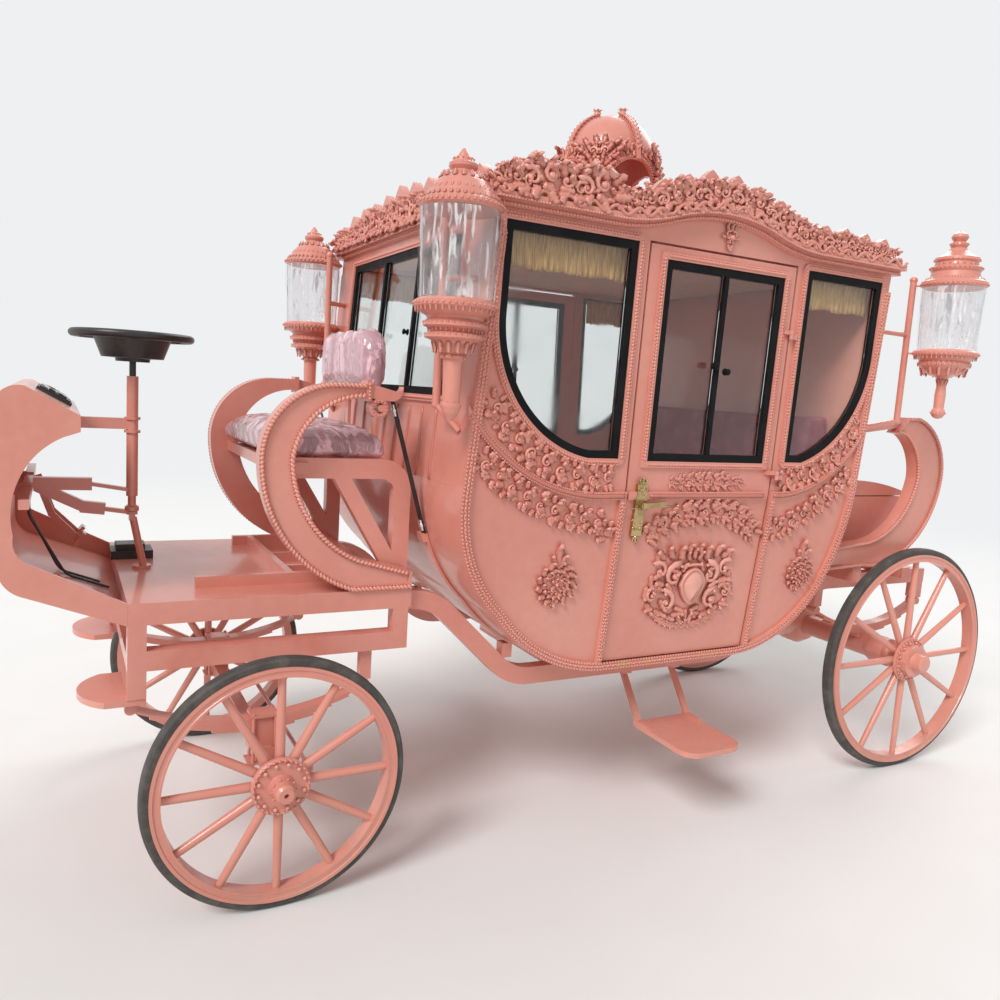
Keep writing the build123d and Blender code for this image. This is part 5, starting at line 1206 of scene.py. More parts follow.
class CARRIAGE_OT_crown(bpy.types.Operator):
    """Dresses the crown: leafy piers, a ridge over the arches, beaded arches and ring, knobby rib tips"""
    bl_idname = "carriage.crown"
    bl_label = "Crown"

    def execute(self, context):
        rng = random.Random(3)
        placed = []
        ridge = dome_share(ARCH_SPRING + ARCH_HALF + 48)
        for i in range(4):
            pier = on_dome(pi / 4 + pi / 2 * i, 3)
            for k in range(9):
                share = 0.02 + (ridge - 0.02) * k / 8
                half = 34 + 74 * (k / 8) ** 3
                for side in (-1, 1):
                    for step in range(3):
                        u = side * (half * (step + 0.3) / 2.6) + rng.uniform(-6, 6)
                        size = rng.uniform(40, 56)
                        placed.append(unit_at(
                            "curled_leaf", pier, u, share, 90 - side * (18 + 26 * step) + rng.uniform(-15, 15),
                            (size * 0.9, size, size * 0.62), rng.uniform(-3, 5)))
                if k % 3 == 1:
                    for side, kind in ((-1, "scroll"), (1, "scroll_back")):
                        placed.append(unit_at(
                            kind, pier, side * 30, share, 90 + side * 30, (52, 52, 34), 4))
                placed.append(unit_at("berry", pier, 0, share, 0, (9, 9, 10), 12))
            rib = on_dome(pi / 2 * i, 12)
            for k in range(11):
                share = ridge + (0.97 - ridge) * k / 10
                placed.append(unit_at("rice", rib, 0, share, 90, (7, 12, 6), 0))
                for side in (-1, 1):
                    placed.append(unit_at(
                        "leaf", rib, side * 7, share, 90 - side * 42, (20, 26, 18), -3))
            tip = round_crown(pi / 2 * i, CROWN_TOP_R + 8, CROWN_H + 10)
            for k in range(5):
                turn = Matrix.Rotation(2 * pi * k / 5, 4, "Y")
                placed.append((units["curled_leaf"], tip @ turn @ Matrix.Translation((0, 0, 0.006)) @ Matrix.Diagonal(
                    (0.020, 0.024, 0.030, 1))))
            placed.append((units["berry"], tip @ Matrix.Translation((0, 0.014, 0)) @ Matrix.Scale(0.010, 4)))
        for i in range(44):
            angle = 2 * pi * i / 44
            face = on_dome(angle, 3)
            size = rng.uniform(34, 46)
            lean = rng.uniform(-30, 30)
            placed.append(unit_at(
                "curled_leaf", face, 0, ridge - 0.05, 90 + lean, (size * 0.9, size, size * 0.6), 0))
            placed.append(unit_at(
                "leaf", face, 14, ridge - 0.02, 270 + lean, (size * 0.8, size * 0.8, size * 0.5), 0))
        for i in range(48):
            angle = 2 * pi * i / 48
            for z in (14, 52):
                placed.append((units["bead"], round_crown(angle, CROWN_R * 0.86 + 12, z) @ Matrix.Scale(0.0072, 4)))
            if i % 2 == 0:
                placed.append((units["leaf"], round_crown(angle, CROWN_R * 0.86 + 12, 22) @ Matrix.Diagonal(
                    (0.022, 0.026, 0.016, 1))))
        kept(assembled("crown_carving", placed), "carriage", finishes["carved paint"])

        placed = []
        for i in range(4):
            for gap, size in ((9, 5.5), (24, 4.2)):
                half = ARCH_HALF + gap
                line = [(-half, CROWN_RING + 8), (-half, ARCH_SPRING),
                        *arc((-half, ARCH_SPRING), (0, ARCH_SPRING + half), (half, ARCH_SPRING), 16),
                        (half, CROWN_RING + 8)]
                for u, v, turn in spaced(line, 13):
                    share = dome_share(v)
                    radius = crown_point(share)[0]
                    if abs(u) < radius:
                        angle = pi / 2 * i + asin(u / radius)
                        placed.append((units["bead"], round_crown(angle, radius + 1, v) @ Matrix.Scale(size * MM, 4)))
        kept(assembled("crown_arch_beads", placed), "carriage", finishes["bead paint"])
        return {"FINISHED"}


class CARRIAGE_OT_foliage(bpy.types.Operator):
    """Carves the running foliage above and below the belt, on the panels and the doors"""
    bl_idname = "carriage.foliage"
    bl_label = "Foliage bands"

    def execute(self, context):
        finish = finishes["carved paint"]
        bands = (
            # name, body, line, height, seed
            ("front_upper_foliage", "carriage", [(2000, 1522), *arc((2000, 1522), (2330, 1590), (2560, 1810))], 92, 21),
            ("front_lower_foliage", "carriage",
             [(1982, 1282), (2045, 1350), *arc((2045, 1350), (2330, 1425), (2590, 1600))], 88, 22),
            ("rear_upper_foliage", "carriage", [(664, 1820), *arc((664, 1820), (812, 1625), (1104, 1522))], 90, 23),
            ("rear_lower_foliage", "carriage", [(672, 1560), *arc((672, 1560), (872, 1402), (1112, 1290))], 88, 24),
            ("door_upper_foliage", "door", [(1730, 1508), (1540, 1515), (1330, 1508)], 62, 25),
            ("door_lower_foliage", "door",
             [(1800, 1275), *arc((1800, 1275), (1690, 1352), (1500, 1380)),
              *arc((1500, 1380), (1300, 1345), (1215, 1270))], 92, 26),
        )
        for name, body, line, height, seed in bands:
            taper = 0.35 if name == "door_upper_foliage" else 0.1
            both(assembled(name, running_sprig(on_side, line, height, 0.5, seed, taper)), body, finish)
        return {"FINISHED"}


# Half of the carved field on a door, counted from its middle: unit, x, z, turn, width, length, relief, lift.
DOOR_ARMS = (1526, 1062)
ARMS_HALF = (
    ("scroll", 96, 44, 20, 124, 124, 46, 6), ("scroll_back", 122, -70, 160, 116, 116, 44, 6),
    ("scroll", 198, -36, 60, 98, 98, 40, 4), ("scroll_back", 176, 70, 130, 96, 96, 38, 4),
    ("curled_leaf", 66, 104, 84, 66, 84, 40, 6), ("curled_leaf", 110, 116, 62, 64, 78, 38, 4),
    ("curled_leaf", 150, 116, 38, 60, 76, 36, 4), ("curled_leaf", 190, 96, 84, 54, 68, 32, 2),
    ("curled_leaf", 212, 60, -96, 54, 72, 34, 2), ("curled_leaf", 226, 10, -82, 50, 70, 32, 2),
    ("curled_leaf", 222, -62, -122, 54, 74, 34, 2), ("curled_leaf", 184, -104, -160, 56, 78, 34, 4),
    ("curled_leaf", 138, -130, -166, 52, 76, 36, 4), ("curled_leaf", 84, -136, -190, 52, 72, 36, 4),
    ("leaf", 44, -128, -120, 46, 56, 34, 4), ("curled_leaf", 138, 8, 12, 54, 74, 42, 8),
    ("curled_leaf", 80, 0, 80, 48, 68, 44, 6), ("curled_leaf", 152, -52, -120, 48, 64, 40, 6),
    ("curled_leaf", 130, 80, 200, 46, 62, 40, 6), ("leaf", 96, -20, 40, 44, 62, 36, 10),
    ("leaf", 176, -94, -8, 44, 60, 34, 6), ("curled_leaf", 206, 30, 140, 46, 60, 36, 6),
    ("curled_leaf", 174, 20, -60, 44, 58, 38, 8), ("leaf", 60, 58, 120, 40, 56, 36, 8),
    ("leaf", 70, -96, 200, 44, 58, 34, 6), ("curled_leaf", 34, 132, 100, 48, 62, 38, 4),
    ("berry", 96, 44, 0, 13, 13, 17, 8), ("berry", 122, -70, 0, 12, 12, 16, 8), ("berry", 198, -36, 0, 10, 10, 14, 6),
    ("berry", 176, 70, 0, 10, 10, 14, 6), ("berry", 134, -30, 0, 8, 8, 11, 14), ("berry", 70, 90, 0, 8, 8, 11, 14),
    ("berry", 224, -10, 0, 7, 7, 10, 8), ("berry", 154, -10, 0, 7, 7, 10, 14))


def both_ways(face, centre, parts):
    """A symmetric carving: each unit on the right of the centre and turned over on the left."""
    return [
        unit_at(handed(unit, side), face, centre[0] + side * x, centre[1] + z, turn if side > 0 else 180 - turn,
                (wide, long, high), lift)
        for unit, x, z, turn, wide, long, high, lift in parts for side in (1, -1)]


def shield_plate(name, width, height):
    """A domed shield with a raised border, 1 mm a unit, lying in XY."""
    clear_selection()
    bpy.ops.mesh.primitive_circle_add(vertices=40, radius=1, fill_type="NGON", location=(0, 0, 0))
    o = taken(name)
    for v in o.data.vertices:
        x, y = v.co.x, v.co.y
        pull = 1 - 0.34 * max(0.0, -y) ** 1.6 if y < 0 else 1 + 0.10 * abs(x) ** 6
        v.co.x, v.co.y = x * width / 2 * pull, y * height / 2 * (1 if y < 0 else 0.86)
    pick(o, lambda co: True, faces=True)
    for thick, rise in ((0, 14), (6, 5), (5, -6), (9, 5), (9, 3)):
        if thick:
            bpy.ops.mesh.inset(thickness=thick, depth=rise)
        else:
            bpy.ops.mesh.extrude_region_move(TRANSFORM_OT_translate={"value": (0, 0, rise)})
    bpy.ops.object.mode_set(mode="OBJECT")
    units[name] = smooth(outward(o), 40)


def wreath(face, centre, radius, tip, size):
    """A ring of leaves with berries inside it and a leafy top and foot; tip is how far the top stands over it."""
    placed = []
    x, z = centre
    for k in range(13):
        angle = 2 * pi * k / 13
        for out, lean, big in ((2, 58, 1.0), (-7, 100, 0.80)):
            placed.append(unit_at(
                "curled_leaf", face, x + (radius - 20 + out) * cos(angle), z + (radius - 20 + out) * sin(angle),
                degrees(angle) + lean, (size * big * 1.1, size * big, size * 0.80), 0))
        inner = radius - 40
        placed.append(unit_at(
            "berry", face, x + inner * cos(angle + 0.2), z + inner * sin(angle + 0.2), 0, (5.5, 5.5, 7), 2))
    for turn in (45, 135, 225, 315, 90):
        placed.append(unit_at("curled_leaf", face, x, z - 4, turn, (30, 34, 30), 2))
    placed.append(unit_at("berry", face, x, z, 0, (9, 9, 14), 6))
    for foot, way in ((z + radius - 12, 90), (z - radius + 16, 270)):
        reach = tip if way == 90 else 44
        for lean, share in ((0, 1.0), (34, 0.66), (-34, 0.66)):
            placed.append(unit_at(
                "curled_leaf", face, x, foot, way + lean, (reach * share * 0.62, reach * share, reach * 0.34), 2))
    return placed


class CARRIAGE_OT_medallions(bpy.types.Operator):
    """Carves the arms on the doors, the wreaths on the panels and the rosette over each door"""
    bl_idname = "carriage.medallions"
    bl_label = "Arms, wreaths and rosettes"

    def execute(self, context):
        finish = finishes["carved paint"]
        shield_plate("shield", 124, 176)
        x, z = DOOR_ARMS
        placed = both_ways(on_side, DOOR_ARMS, ARMS_HALF)
        placed.append(unit_at("shield", on_side, x, z + 6, 90, (1, 1, 1.5), 2))
        for dx, dz, turn, size in (
                (0, 112, 90, 62), (-22, 106, 112, 56), (22, 106, 68, 56), (0, -104, 270, 60), (-22, -100, 244, 52),
                (22, -100, 296, 52)):
            placed.append(unit_at("curled_leaf", on_side, x + dx, z + dz, turn, (size * 0.7, size, 30), 6))
        for k in range(9):
            placed.append(unit_at("berry", on_side, x - 36 + 9 * k, z + 92 + 5 * cos((k - 4) / 3), 0, 6.5, 18))
        for turn in range(0, 360, 45):
            placed.append(unit_at("leaf", on_side, x, z + 12, turn, (22, 34, 20), 14))
        placed.append(unit_at("berry", on_side, x, z + 12, 0, (11, 11, 12), 20))
        ribbon = [(x - 172, z - 120), *arc((x - 172, z - 120), (x - 90, z - 168), (x, z - 176), 8),
                  *arc((x, z - 176), (x + 90, z - 168), (x + 172, z - 120), 8)]
        for shift in (-8, 0, 8):
            for u, v, turn in spaced(ribbon, 12, False, shift):
                placed.append(unit_at("rice", on_side, u, v, turn, (6.5, 12, 8), 3))
        for u, v, turn in spaced(ribbon, 30):
            for side in (-1, 1):
                placed.append(unit_at("curled_leaf", on_side, u, v, turn + side * 24, (30, 36, 24), 1))
        both(assembled("door_arms", placed), "door", finish)
        both(assembled("front_wreath", wreath(on_side, (2202, 1102), 80, 104, 46)), "carriage", finish)
        both(assembled("rear_wreath", wreath(on_side, (886, 1086), 72, 112, 42)), "carriage", finish)
        placed = both_ways(on_side, (1552, 2488), (
            ("scroll", 15, 10, 40, 34, 34, 30, 7), ("scroll_back", 14, -16, 150, 30, 30, 28, 7),
            ("curled_leaf", 14, 22, 70, 30, 34, 26, 7), ("curled_leaf", 12, -24, 250, 28, 32, 24, 7),
            ("leaf", 21, -2, 10, 24, 26, 20, 7)))
        placed.append(unit_at("curled_leaf", on_side, 1552, 2508, 90, (32, 34, 30), 9))
        placed.append(unit_at("berry", on_side, 1552, 2488, 0, (12, 14, 17), 10))
        both(assembled("door_rosette", placed), "carriage", finish)
        return {"FINISHED"}


FRONT_OUTER = ((2700, 1053), (2935, 1053), (3171, 1214), (3289, 1530), (3212, 1738), (3009, 1824), (2912, 1826))
FRONT_INNER = ((2715, 1120), (2915, 1176), (3092, 1316), (3168, 1545), (3101, 1694), (2923, 1776), (2914, 1777))
REAR_OUTER = ((560, 1056), (300, 1064), (-128, 1226), (-247, 1530), (-172, 1730), (-10, 1828), (64, 1826))
REAR_INNER = ((570, 1158), (330, 1186), (44, 1320), (-46, 1520), (-14, 1640), (90, 1738), (140, 1745))


def scroll_line(a):
    """The line of a C-scroll's rim through its seven points."""
    return [a[0], a[1], *arc(a[1], a[2], a[3], 24), *arc(a[3], a[4], a[5], 20), a[6]]


class CARRIAGE_OT_scroll_ropes(bpy.types.Operator):
    """Runs a leafy rope and a line of beads along both rims of the big C-scrolls"""
    bl_idname = "carriage.scroll_ropes"
    bl_label = "Scroll ropes"

    def execute(self, context):
        finish = finishes["bead paint"]
        for name, rims, y in (
                ("front_scroll_rope", ((FRONT_OUTER, 1), (FRONT_INNER, -1)), 564),
                ("rear_scroll_rope", ((REAR_OUTER, -1), (REAR_INNER, 1)), 688)):
            placed = []
            face = on_plate(y)
            for points, side in rims:
                line = scroll_line(points)
                placed += [unit_at("rice", face, u, v, turn + 34 * side, (9.0, 14.5, 11.0), -1.5)
                           for u, v, turn in spaced(line, 15.5, False, side * 7)]
                placed += beads_on(face, line, 11.0, 3.9, -6.5, False, side * 17)
            both(assembled(name, placed), "carriage", finish)
        face = on_plate(563)
        placed = ring_of("bead", 13, face, (2860, 1740), 28, 5, -6)
        placed += [unit_at("berry", face, 2902, z, 0, (6, 6, 6), 2) for z in range(1774, 1834, 13)]
        both(assembled("front_curl_beads", placed), "carriage", finish)
        return {"FINISHED"}


# Dressing of a lantern, counted from the foot of its glass: unit, count, height, radius, turned down, width, length.
FRONT_LAMP = (
    ("bead", 44, -18, 142, False, 6.0, 6.0), ("leaf", 38, -26, 138, True, 20, 20),
    ("leaf", 34, -74, 108, True, 16, 16), ("leaf", 30, -92, 92, True, 15, 15), ("leaf", 32, -112, 101, True, 16, 18),
    ("leaf", 14, -134, 76, True, 30, 46), ("bead", 18, -188, 44, False, 4.5, 4.5), ("leaf", 7, -206, 31, True, 24, 40),
    ("leaf", 8, -336, 33, True, 24, 40), ("bead", 44, 303, 142, False, 6.0, 6.0),
    ("leaf", 36, 318, 132, False, 18, 18), ("leaf", 30, 344, 110, False, 18, 18),
    ("leaf", 16, 384, 80, False, 28, 26), ("curled_leaf", 9, 420, 42, False, 22, 28),
    ("bead", 12, 452, 34, False, 4, 4))
REAR_LAMP = (
    ("bead", 44, -18, 142, False, 6.0, 6.0), ("leaf", 38, -26, 136, True, 20, 20), ("leaf", 34, -62, 116, True, 16, 18),
    ("leaf", 15, -78, 104, True, 34, 48), ("leaf", 9, -134, 28, True, 20, 40), ("leaf", 7, -262, 24, False, 14, 26),
    ("bead", 14, -295, 32, False, 4.5, 4.5), ("bead", 44, 303, 142, False, 6.0, 6.0),
    ("leaf", 34, 318, 130, False, 18, 18), ("bead", 34, 378, 112, False, 5.0, 5.0),
    ("leaf", 20, 392, 94, False, 26, 22), ("bead", 30, 416, 97, False, 4.5, 4.5),
    ("leaf", 11, 446, 48, False, 24, 30), ("bead", 14, 492, 39, False, 4, 4), ("leaf", 7, 510, 34, False, 18, 26))
LAMPS = (("front_lantern", 2732, 2121, FRONT_LAMP), ("rear_lantern", 168, 2154, REAR_LAMP))
LAMP_Y, GLASS_LOW, GLASS_HIGH, GLASS_HEIGHT = 905, 124, 134, 288
# The film's gap over the glass, the depth of its creases and the bare glass at each end.
FILM_GAP, FILM_CREASE, FILM_MARGIN = 5.5, 3.2, 4


def crinkled_tube(name, x, z, columns, rows, level):
    """Film wrapped round a lamp's glass, creased mostly upright, or crosswise with level creases."""
    clear_selection()
    bpy.ops.mesh.primitive_grid_add(x_subdivisions=columns, y_subdivisions=rows, size=1, location=(0.5, 0.5, 0))
    o = settled(taken(name))
    rng = random.Random(int(x))
    waves = [(rng.uniform(0, 2 * pi), rng.randint(7, 31), rng.uniform(-3, 3), rng.uniform(0.3, 1.0))
             for _ in range(9)]
    for v in o.data.vertices:
        u, w = v.co.x, v.co.y
        crease = sum(a * sin(2 * pi * (n * (w * 2.2 if level else u) + slant * (u if level else w) * 0.5) + p)
                     for p, n, slant, a in waves) / 9
        radius = GLASS_LOW + (GLASS_HIGH - GLASS_LOW) * w + FILM_GAP + FILM_CREASE * crease
        height = z + FILM_MARGIN + (GLASS_HEIGHT - 2 * FILM_MARGIN) * w
        v.co = round_place(x, LAMP_Y, height, 2 * pi * u, radius).translation
    return smooth(outward(o))


class CARRIAGE_OT_lanterns(bpy.types.Operator):
    """Dresses the four lanterns with beads, leaves and creased film round the glass"""
    bl_idname = "carriage.lanterns"
    bl_label = "Lanterns"

    def execute(self, context):
        finish = finishes["carved paint"]
        for name, x, z, rows in LAMPS:
            placed = []
            for unit, count, height, radius, down, wide, long in rows:
                for k in range(count):
                    m = round_place(x, LAMP_Y, z + height, 2 * pi * k / count, radius)
                    if unit == "bead":
                        placed.append((units[unit], m @ Matrix.Scale(wide * MM, 4)))
                        continue
                    lean = Matrix.Rotation(-0.3 if down else -0.6, 4, "X")
                    m = m @ Matrix.Rotation(pi if down else 0, 4, "Z") @ lean
                    placed.append((units[unit], m @ Matrix.Diagonal((wide * MM, long * MM, wide * 0.5 * MM, 1))))
            both(assembled(name + "_carving", placed), "carriage", finish)
            film = crinkled_tube(name + "_film", x, z, 120, 10, name.startswith("rear"))
            for o in both(film, "carriage", finishes["clear film"]):
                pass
        return {"FINISHED"}


# Outlines of turned fittings: radius and height in millimetres.
LATCH_KNOB = ((14, 0), (15, 3), (9, 6), (8, 13), (13, 17), (13, 23), (8, 27))
PANE_KNOB = ((13, 0), (14, 3), (8, 6), (7, 12), (12, 16), (12, 21), (7, 24))
STRAP_BUCKLE = ((5, -24), (10, -22), (10, -8), (14, -6), (14, 6), (10, 8), (10, 22), (5, 24))


class CARRIAGE_OT_handles(bpy.types.Operator):
    """Adds the scrollwork of the gilt door handles and the latches on the door windows"""
    bl_idname = "carriage.handles"
    bl_label = "Handles and latches"

    def execute(self, context):
        x = 1862
        parts = (
            ("scroll", 15, 84, 60, 26, 26, 22, 14), ("scroll_back", 15, -76, 120, 24, 24, 20, 14),
            ("leaf", 16, 40, 30, 14, 22, 14, 14), ("leaf", 16, -30, -30, 14, 22, 14, 14),
            ("curled_leaf", 8, 104, 66, 18, 26, 14, 14), ("curled_leaf", 7, -104, -70, 16, 24, 12, 14),
            ("leaf", 22, 8, 4, 13, 16, 10, 12), ("bead", 14, 62, 0, 3.4, 3.4, 4, 18),
            ("bead", 14, -52, 0, 3.4, 3.4, 4, 18))
        placed = both_ways(on_side, (x, 1395), parts)
        for z, turn, size in ((1494, 90, 38), (1296, 270, 36), (1452, 90, 24), (1340, 270, 24)):
            placed.append(unit_at("curled_leaf", on_side, x, z, turn, (size * 0.8, size, size * 0.5), 14))
        placed += ring_of("bead", 10, on_side, (x, 1417), 17, 3.2, 19)
        placed += [unit_at("curled_leaf", on_side, u, 1420, 180, (16, 26, 12), 44) for u in (1732, 1758)]
        both(assembled("door_handle_scrollwork", placed), "door", finishes["gilt"])
        for name, (px, pz) in (("window_latch_front", (1574, 1985)), ("window_latch_rear", (1512, 1965))):
            knob = turned_at(name, LATCH_KNOB, 20, posed(on_side, px, pz, 90, 1 / MM, 16))
            both(knob, "door", finishes["black frame"])
        return {"FINISHED"}


class CARRIAGE_OT_hubs(bpy.types.Operator):
    """Rings each wheel's hub with beads, bolts and a leafy nose"""
    bl_idname = "carriage.hubs"
    bl_label = "Hubs"

    def execute(self, context):
        finish = finishes["carved paint"]
        units["bolt"] = turned("bolt", [(0.9, 0), (1.0, 0.25), (1.0, 0.7), (0.8, 0.95), (0.35, 1.05)], steps=6)
        face = on_plate(776)
        for name, centre, flange, nose in (("front", (3241, 450), 102, 66), ("rear", (0, 583), 114, 82)):
            placed = ring_of("bead", 30, face, centre, flange - 8, 6.2, 38)
            placed += ring_of("bolt", 12, face, centre, flange - 22, 7.5, 37, True, 0.5)
            placed += ring_of("leaf", 10, face, centre, 22, (20, 26, 14), nose, True)
            both(assembled(name + "_hub_carving", placed), name + "_wheel", finish)
        return {"FINISHED"}


class CARRIAGE_OT_fittings(bpy.types.Operator):
    """Adds the dials of the instrument panel and the strap buckles"""
    bl_idname = "carriage.fittings"
    bl_label = "Small fittings"

    def execute(self, context):
        slope = Vector((3845 - 3998, 0, 1672 - 1757)).normalized()
        out = Vector((0, 1, 0)).cross(slope).normalized()
        out = out if out.z > 0 else -out
        mid = (place(3998, 90, 1757) + place(3845, 90, 1672)) / 2
        for k, (shift, radius) in enumerate(((-98, 38), (-8, 44), (84, 38))):
            outline = [(radius, -2), (radius + 3, 2), (radius + 3, 8), (radius - 2, 10), (radius - 5, 5),
                       (radius - 6, 4)]
            dial = turned(f"dial_{k + 1}", outline, steps=40)
            m = Matrix((Vector((0, 1, 0)), slope, out)).transposed().to_4x4()
            m.translation = mid + Vector((0, shift * MM, 0)) + out * 0.012
            dial.data.transform(m @ Matrix.Scale(MM, 4))
            kept(smooth(outward(dial), 40), "carriage", finishes["chrome"])
        high, low = (2800, 531, 1768), (2641, 516, 1262)
        run = (Vector(high) - Vector(low)).normalized()
        turn = Vector((0, 0, 1)).rotation_difference(run).to_matrix().to_4x4()
        ends = [turned_at("buckle", STRAP_BUCKLE, 14, Matrix.Translation(place(*spot) + run * way * 0.034) @ turn)
                for spot, way in ((high, -1), (low, 1))]
        both(joined("strap_buckles", ends), "carriage", finishes["chrome"])
        return {"FINISHED"}


class CARRIAGE_OT_tub_front(bpy.types.Operator):
    """Lays upright reeds on the front and back walls of the coach below the windows"""
    bl_idname = "carriage.tub_front"
    bl_label = "Reeded end walls"

    def execute(self, context):
        finish = finishes["bead paint"]
        for name, face in (("front_wall_reeds", on_front), ("rear_wall_reeds", on_rear)):
            reeds = []
            for k in range(9):
                y = -560 + 140 * k
                line = [face(y, z, 1)[0] for z in (1480, 1560, 1640, 1700, 1752)]
                reeds.append(tube(f"reed_{k}", line, 0.0075, 6))
            kept(joined(name, reeds), "carriage", finish)
        return {"FINISHED"}


class CARRIAGE_OT_window_knobs(bpy.types.Operator):
    """Adds the black knobs of the front window's sliding panes"""
    bl_idname = "carriage.window_knobs"
    bl_label = "Window knobs"

    def execute(self, context):
        knobs = [turned_at("knob", PANE_KNOB, 16, posed(on_front, y, 2050, 90, 1 / MM, 6)) for y in (-176, 176)]
        kept(joined("front_window_knobs", knobs), "carriage", finishes["black frame"])
        return {"FINISHED"}


# Windows with a gold fringe inside their heads: name, back end, front end and top.
FRINGED = (("front_fringe", 2006, 2534, 2405), ("rear_fringe", 656, 1086, 2405))


class CARRIAGE_OT_fringe(bpy.types.Operator):
    """Hangs the gold fringe inside the heads of the side windows"""
    bl_idname = "carriage.fringe"
    bl_label = "Gold fringe"

    def execute(self, context):
        drop = context.scene.carriage_upholstery.fringe / MM
        for name, back, front, top in FRINGED:
            rng = random.Random(int(back))
            columns, rows = int((front - back) / 3.2), 6
            clear_selection()
            bpy.ops.mesh.primitive_grid_add(
                x_subdivisions=columns, y_subdivisions=rows, size=1, location=(0.5, 0.5, 0))
            o = settled(taken(name))
            ragged = [rng.uniform(-5, 5) for _ in range(columns + 2)]
            for v in o.data.vertices:
                x = back + (front - back) * v.co.x
                low = 1 - v.co.y
                k = int(round(v.co.x * columns))
                z = top - (drop + ragged[k] + 4 * sin(x / 31)) * low
                fold = (3.2 * sin(x / 4.6) + 2.4 * sin(x / 11.3 + 1)) * (0.35 + 0.65 * low)
                v.co = place(x + ragged[k] * 0.25 * low, side_y(z) - 52 + fold, z)
            smooth(o)
            modified(o, "SOLIDIFY", thickness=0.0024, offset=0)
            for piece in both(o, "carriage", finishes["gold fringe"]):
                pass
        return {"FINISHED"}


class CARRIAGE_OT_ceiling(bpy.types.Operator):
    """Stretches the ceiling cloth under the roof"""
    bl_idname = "carriage.ceiling"
    bl_label = "Ceiling cloth"

    def execute(self, context):
        clear_selection()
        bpy.ops.mesh.primitive_grid_add(x_subdivisions=60, y_subdivisions=48, size=1, location=(0, 0, 0))
        o = settled(taken("ceiling_cloth"))
        long, wide = 1.880, 1.660
        for v in o.data.vertices:
            a, b = v.co.x * 2, v.co.y * 2
            rise = 0.012 * (1 - a * a) * (1 - b * b) + 0.0016 * sin(a * 34) * (1 - b * b)
            v.co = place(1594, 0, 2438) + Vector((a * long / 2, b * wide / 2, rise))
        modified(o, "SOLIDIFY", thickness=0.003, offset=1)
        kept(smooth(o, 40), "carriage", finishes["ceiling cloth"])
        return {"FINISHED"}


# Cushions: two opposite corners in millimetres, voxel size in metres, most swell in millimetres.
DRIVER_CUSHION = (((2782, -470, 1553), (3246, 470, 1640)), 0.008, 20)
DRIVER_BACKREST = (((2764, -368, 1812), (2828, 368, 2040)), 0.008, 14)
BENCH_SEAT = (((742, -716, 1190), (1092, 716, 1282)), 0.014, 16)
BENCH_BACK = (((706, -716, 1312), (836, 716, 1812)), 0.014, 12)
QUICK_VOXEL, CLOTH_FRAMES, CLOTH_PRESSURE = 2.2, 20, 4
GROOVES, GROOVE_HALF, GROOVE_DEPTH = (-0.36, 0.0, 0.36), 0.020, 0.010


def cushion_block(name, corners, voxel, swell, skip):
    """A stuffed block between two corners: remeshed and, unless skip says not to, blown up like cloth."""
    (x0, y0, z0), (x1, y1, z1) = corners
    clear_selection()
    bpy.ops.mesh.primitive_cube_add(size=1, location=place((x0 + x1) / 2, (y0 + y1) / 2, (z0 + z1) / 2))
    o = taken(name)
    o.scale = ((x1 - x0) * MM, (y1 - y0) * MM, (z1 - z0) * MM)
    settled(o)
    modified(o, "BEVEL", width=0.018, segments=3)
    only(o)
    o.data.remesh_voxel_size = voxel * (QUICK_VOXEL if skip else 1)
    bpy.ops.object.voxel_remesh()
    if skip:
        return smooth(o)
    start = points_of(o)
    cloth = o.modifiers.new("Cloth", "CLOTH")
    cloth.settings.use_pressure = True
    cloth.settings.uniform_pressure_force = CLOTH_PRESSURE
    cloth.settings.effector_weights.gravity = 0
    for number in range(1, CLOTH_FRAMES + 1):
        bpy.context.scene.frame_set(number)
    only(o)
    bpy.ops.object.modifier_apply(modifier=cloth.name)
    bpy.context.scene.frame_set(1)
    move = points_of(o) - start
    far = np.linalg.norm(move, axis=1, keepdims=True)
    move *= np.minimum(1.0, swell * MM / np.maximum(far, 1e-9))
    o.data.vertices.foreach_set("co", (start + move).ravel())
    o.data.update()
    modified(o, "SMOOTH", factor=0.5, iterations=3)
    return smooth(o)


def creased(o, depth, scale, seed):
    """Presses shallow film creases into a cushion's surface, along its own normals."""
    rng = random.Random(seed)
    waves = [(Vector([rng.uniform(-1, 1) for _ in range(3)]).normalized() * rng.uniform(0.6, 1.8),
              rng.uniform(0, 2 * pi)) for _ in range(11)]
    for v in o.data.vertices:
        total = sum(abs(sin(v.co.dot(way) / scale + turn)) ** 6 for way, turn in waves) / len(waves)
        v.co += v.normal * (depth * (total - 0.22))
    o.data.update()
    return o


def slumped(seat):
    """Shapes the driver's cushion: lower towards its edges, its corners drawn out and up."""
    middle = place(3014, 0, 1618)
    for v in seat.data.vertices:
        across = abs(v.co.y) / 0.47
        along = abs(v.co.x - middle.x) / 0.232
        slump = 1.10 - 0.34 * min(1, across) ** 4 - 0.34 * min(1, along) ** 4
        v.co.z = 1.546 + (v.co.z - 1.546) * slump
    for x, y in ((2780, -474), (2780, 474), (3250, -474), (3250, 474)):
        corner = place(x, y, 1618)
        away = (corner - middle).normalized()
        for v in seat.data.vertices:
            near = max(0.0, 1 - (v.co - corner).length / 0.075)
            v.co += (away * 0.006 + Vector((0, 0, 0.020))) * near ** 1.5


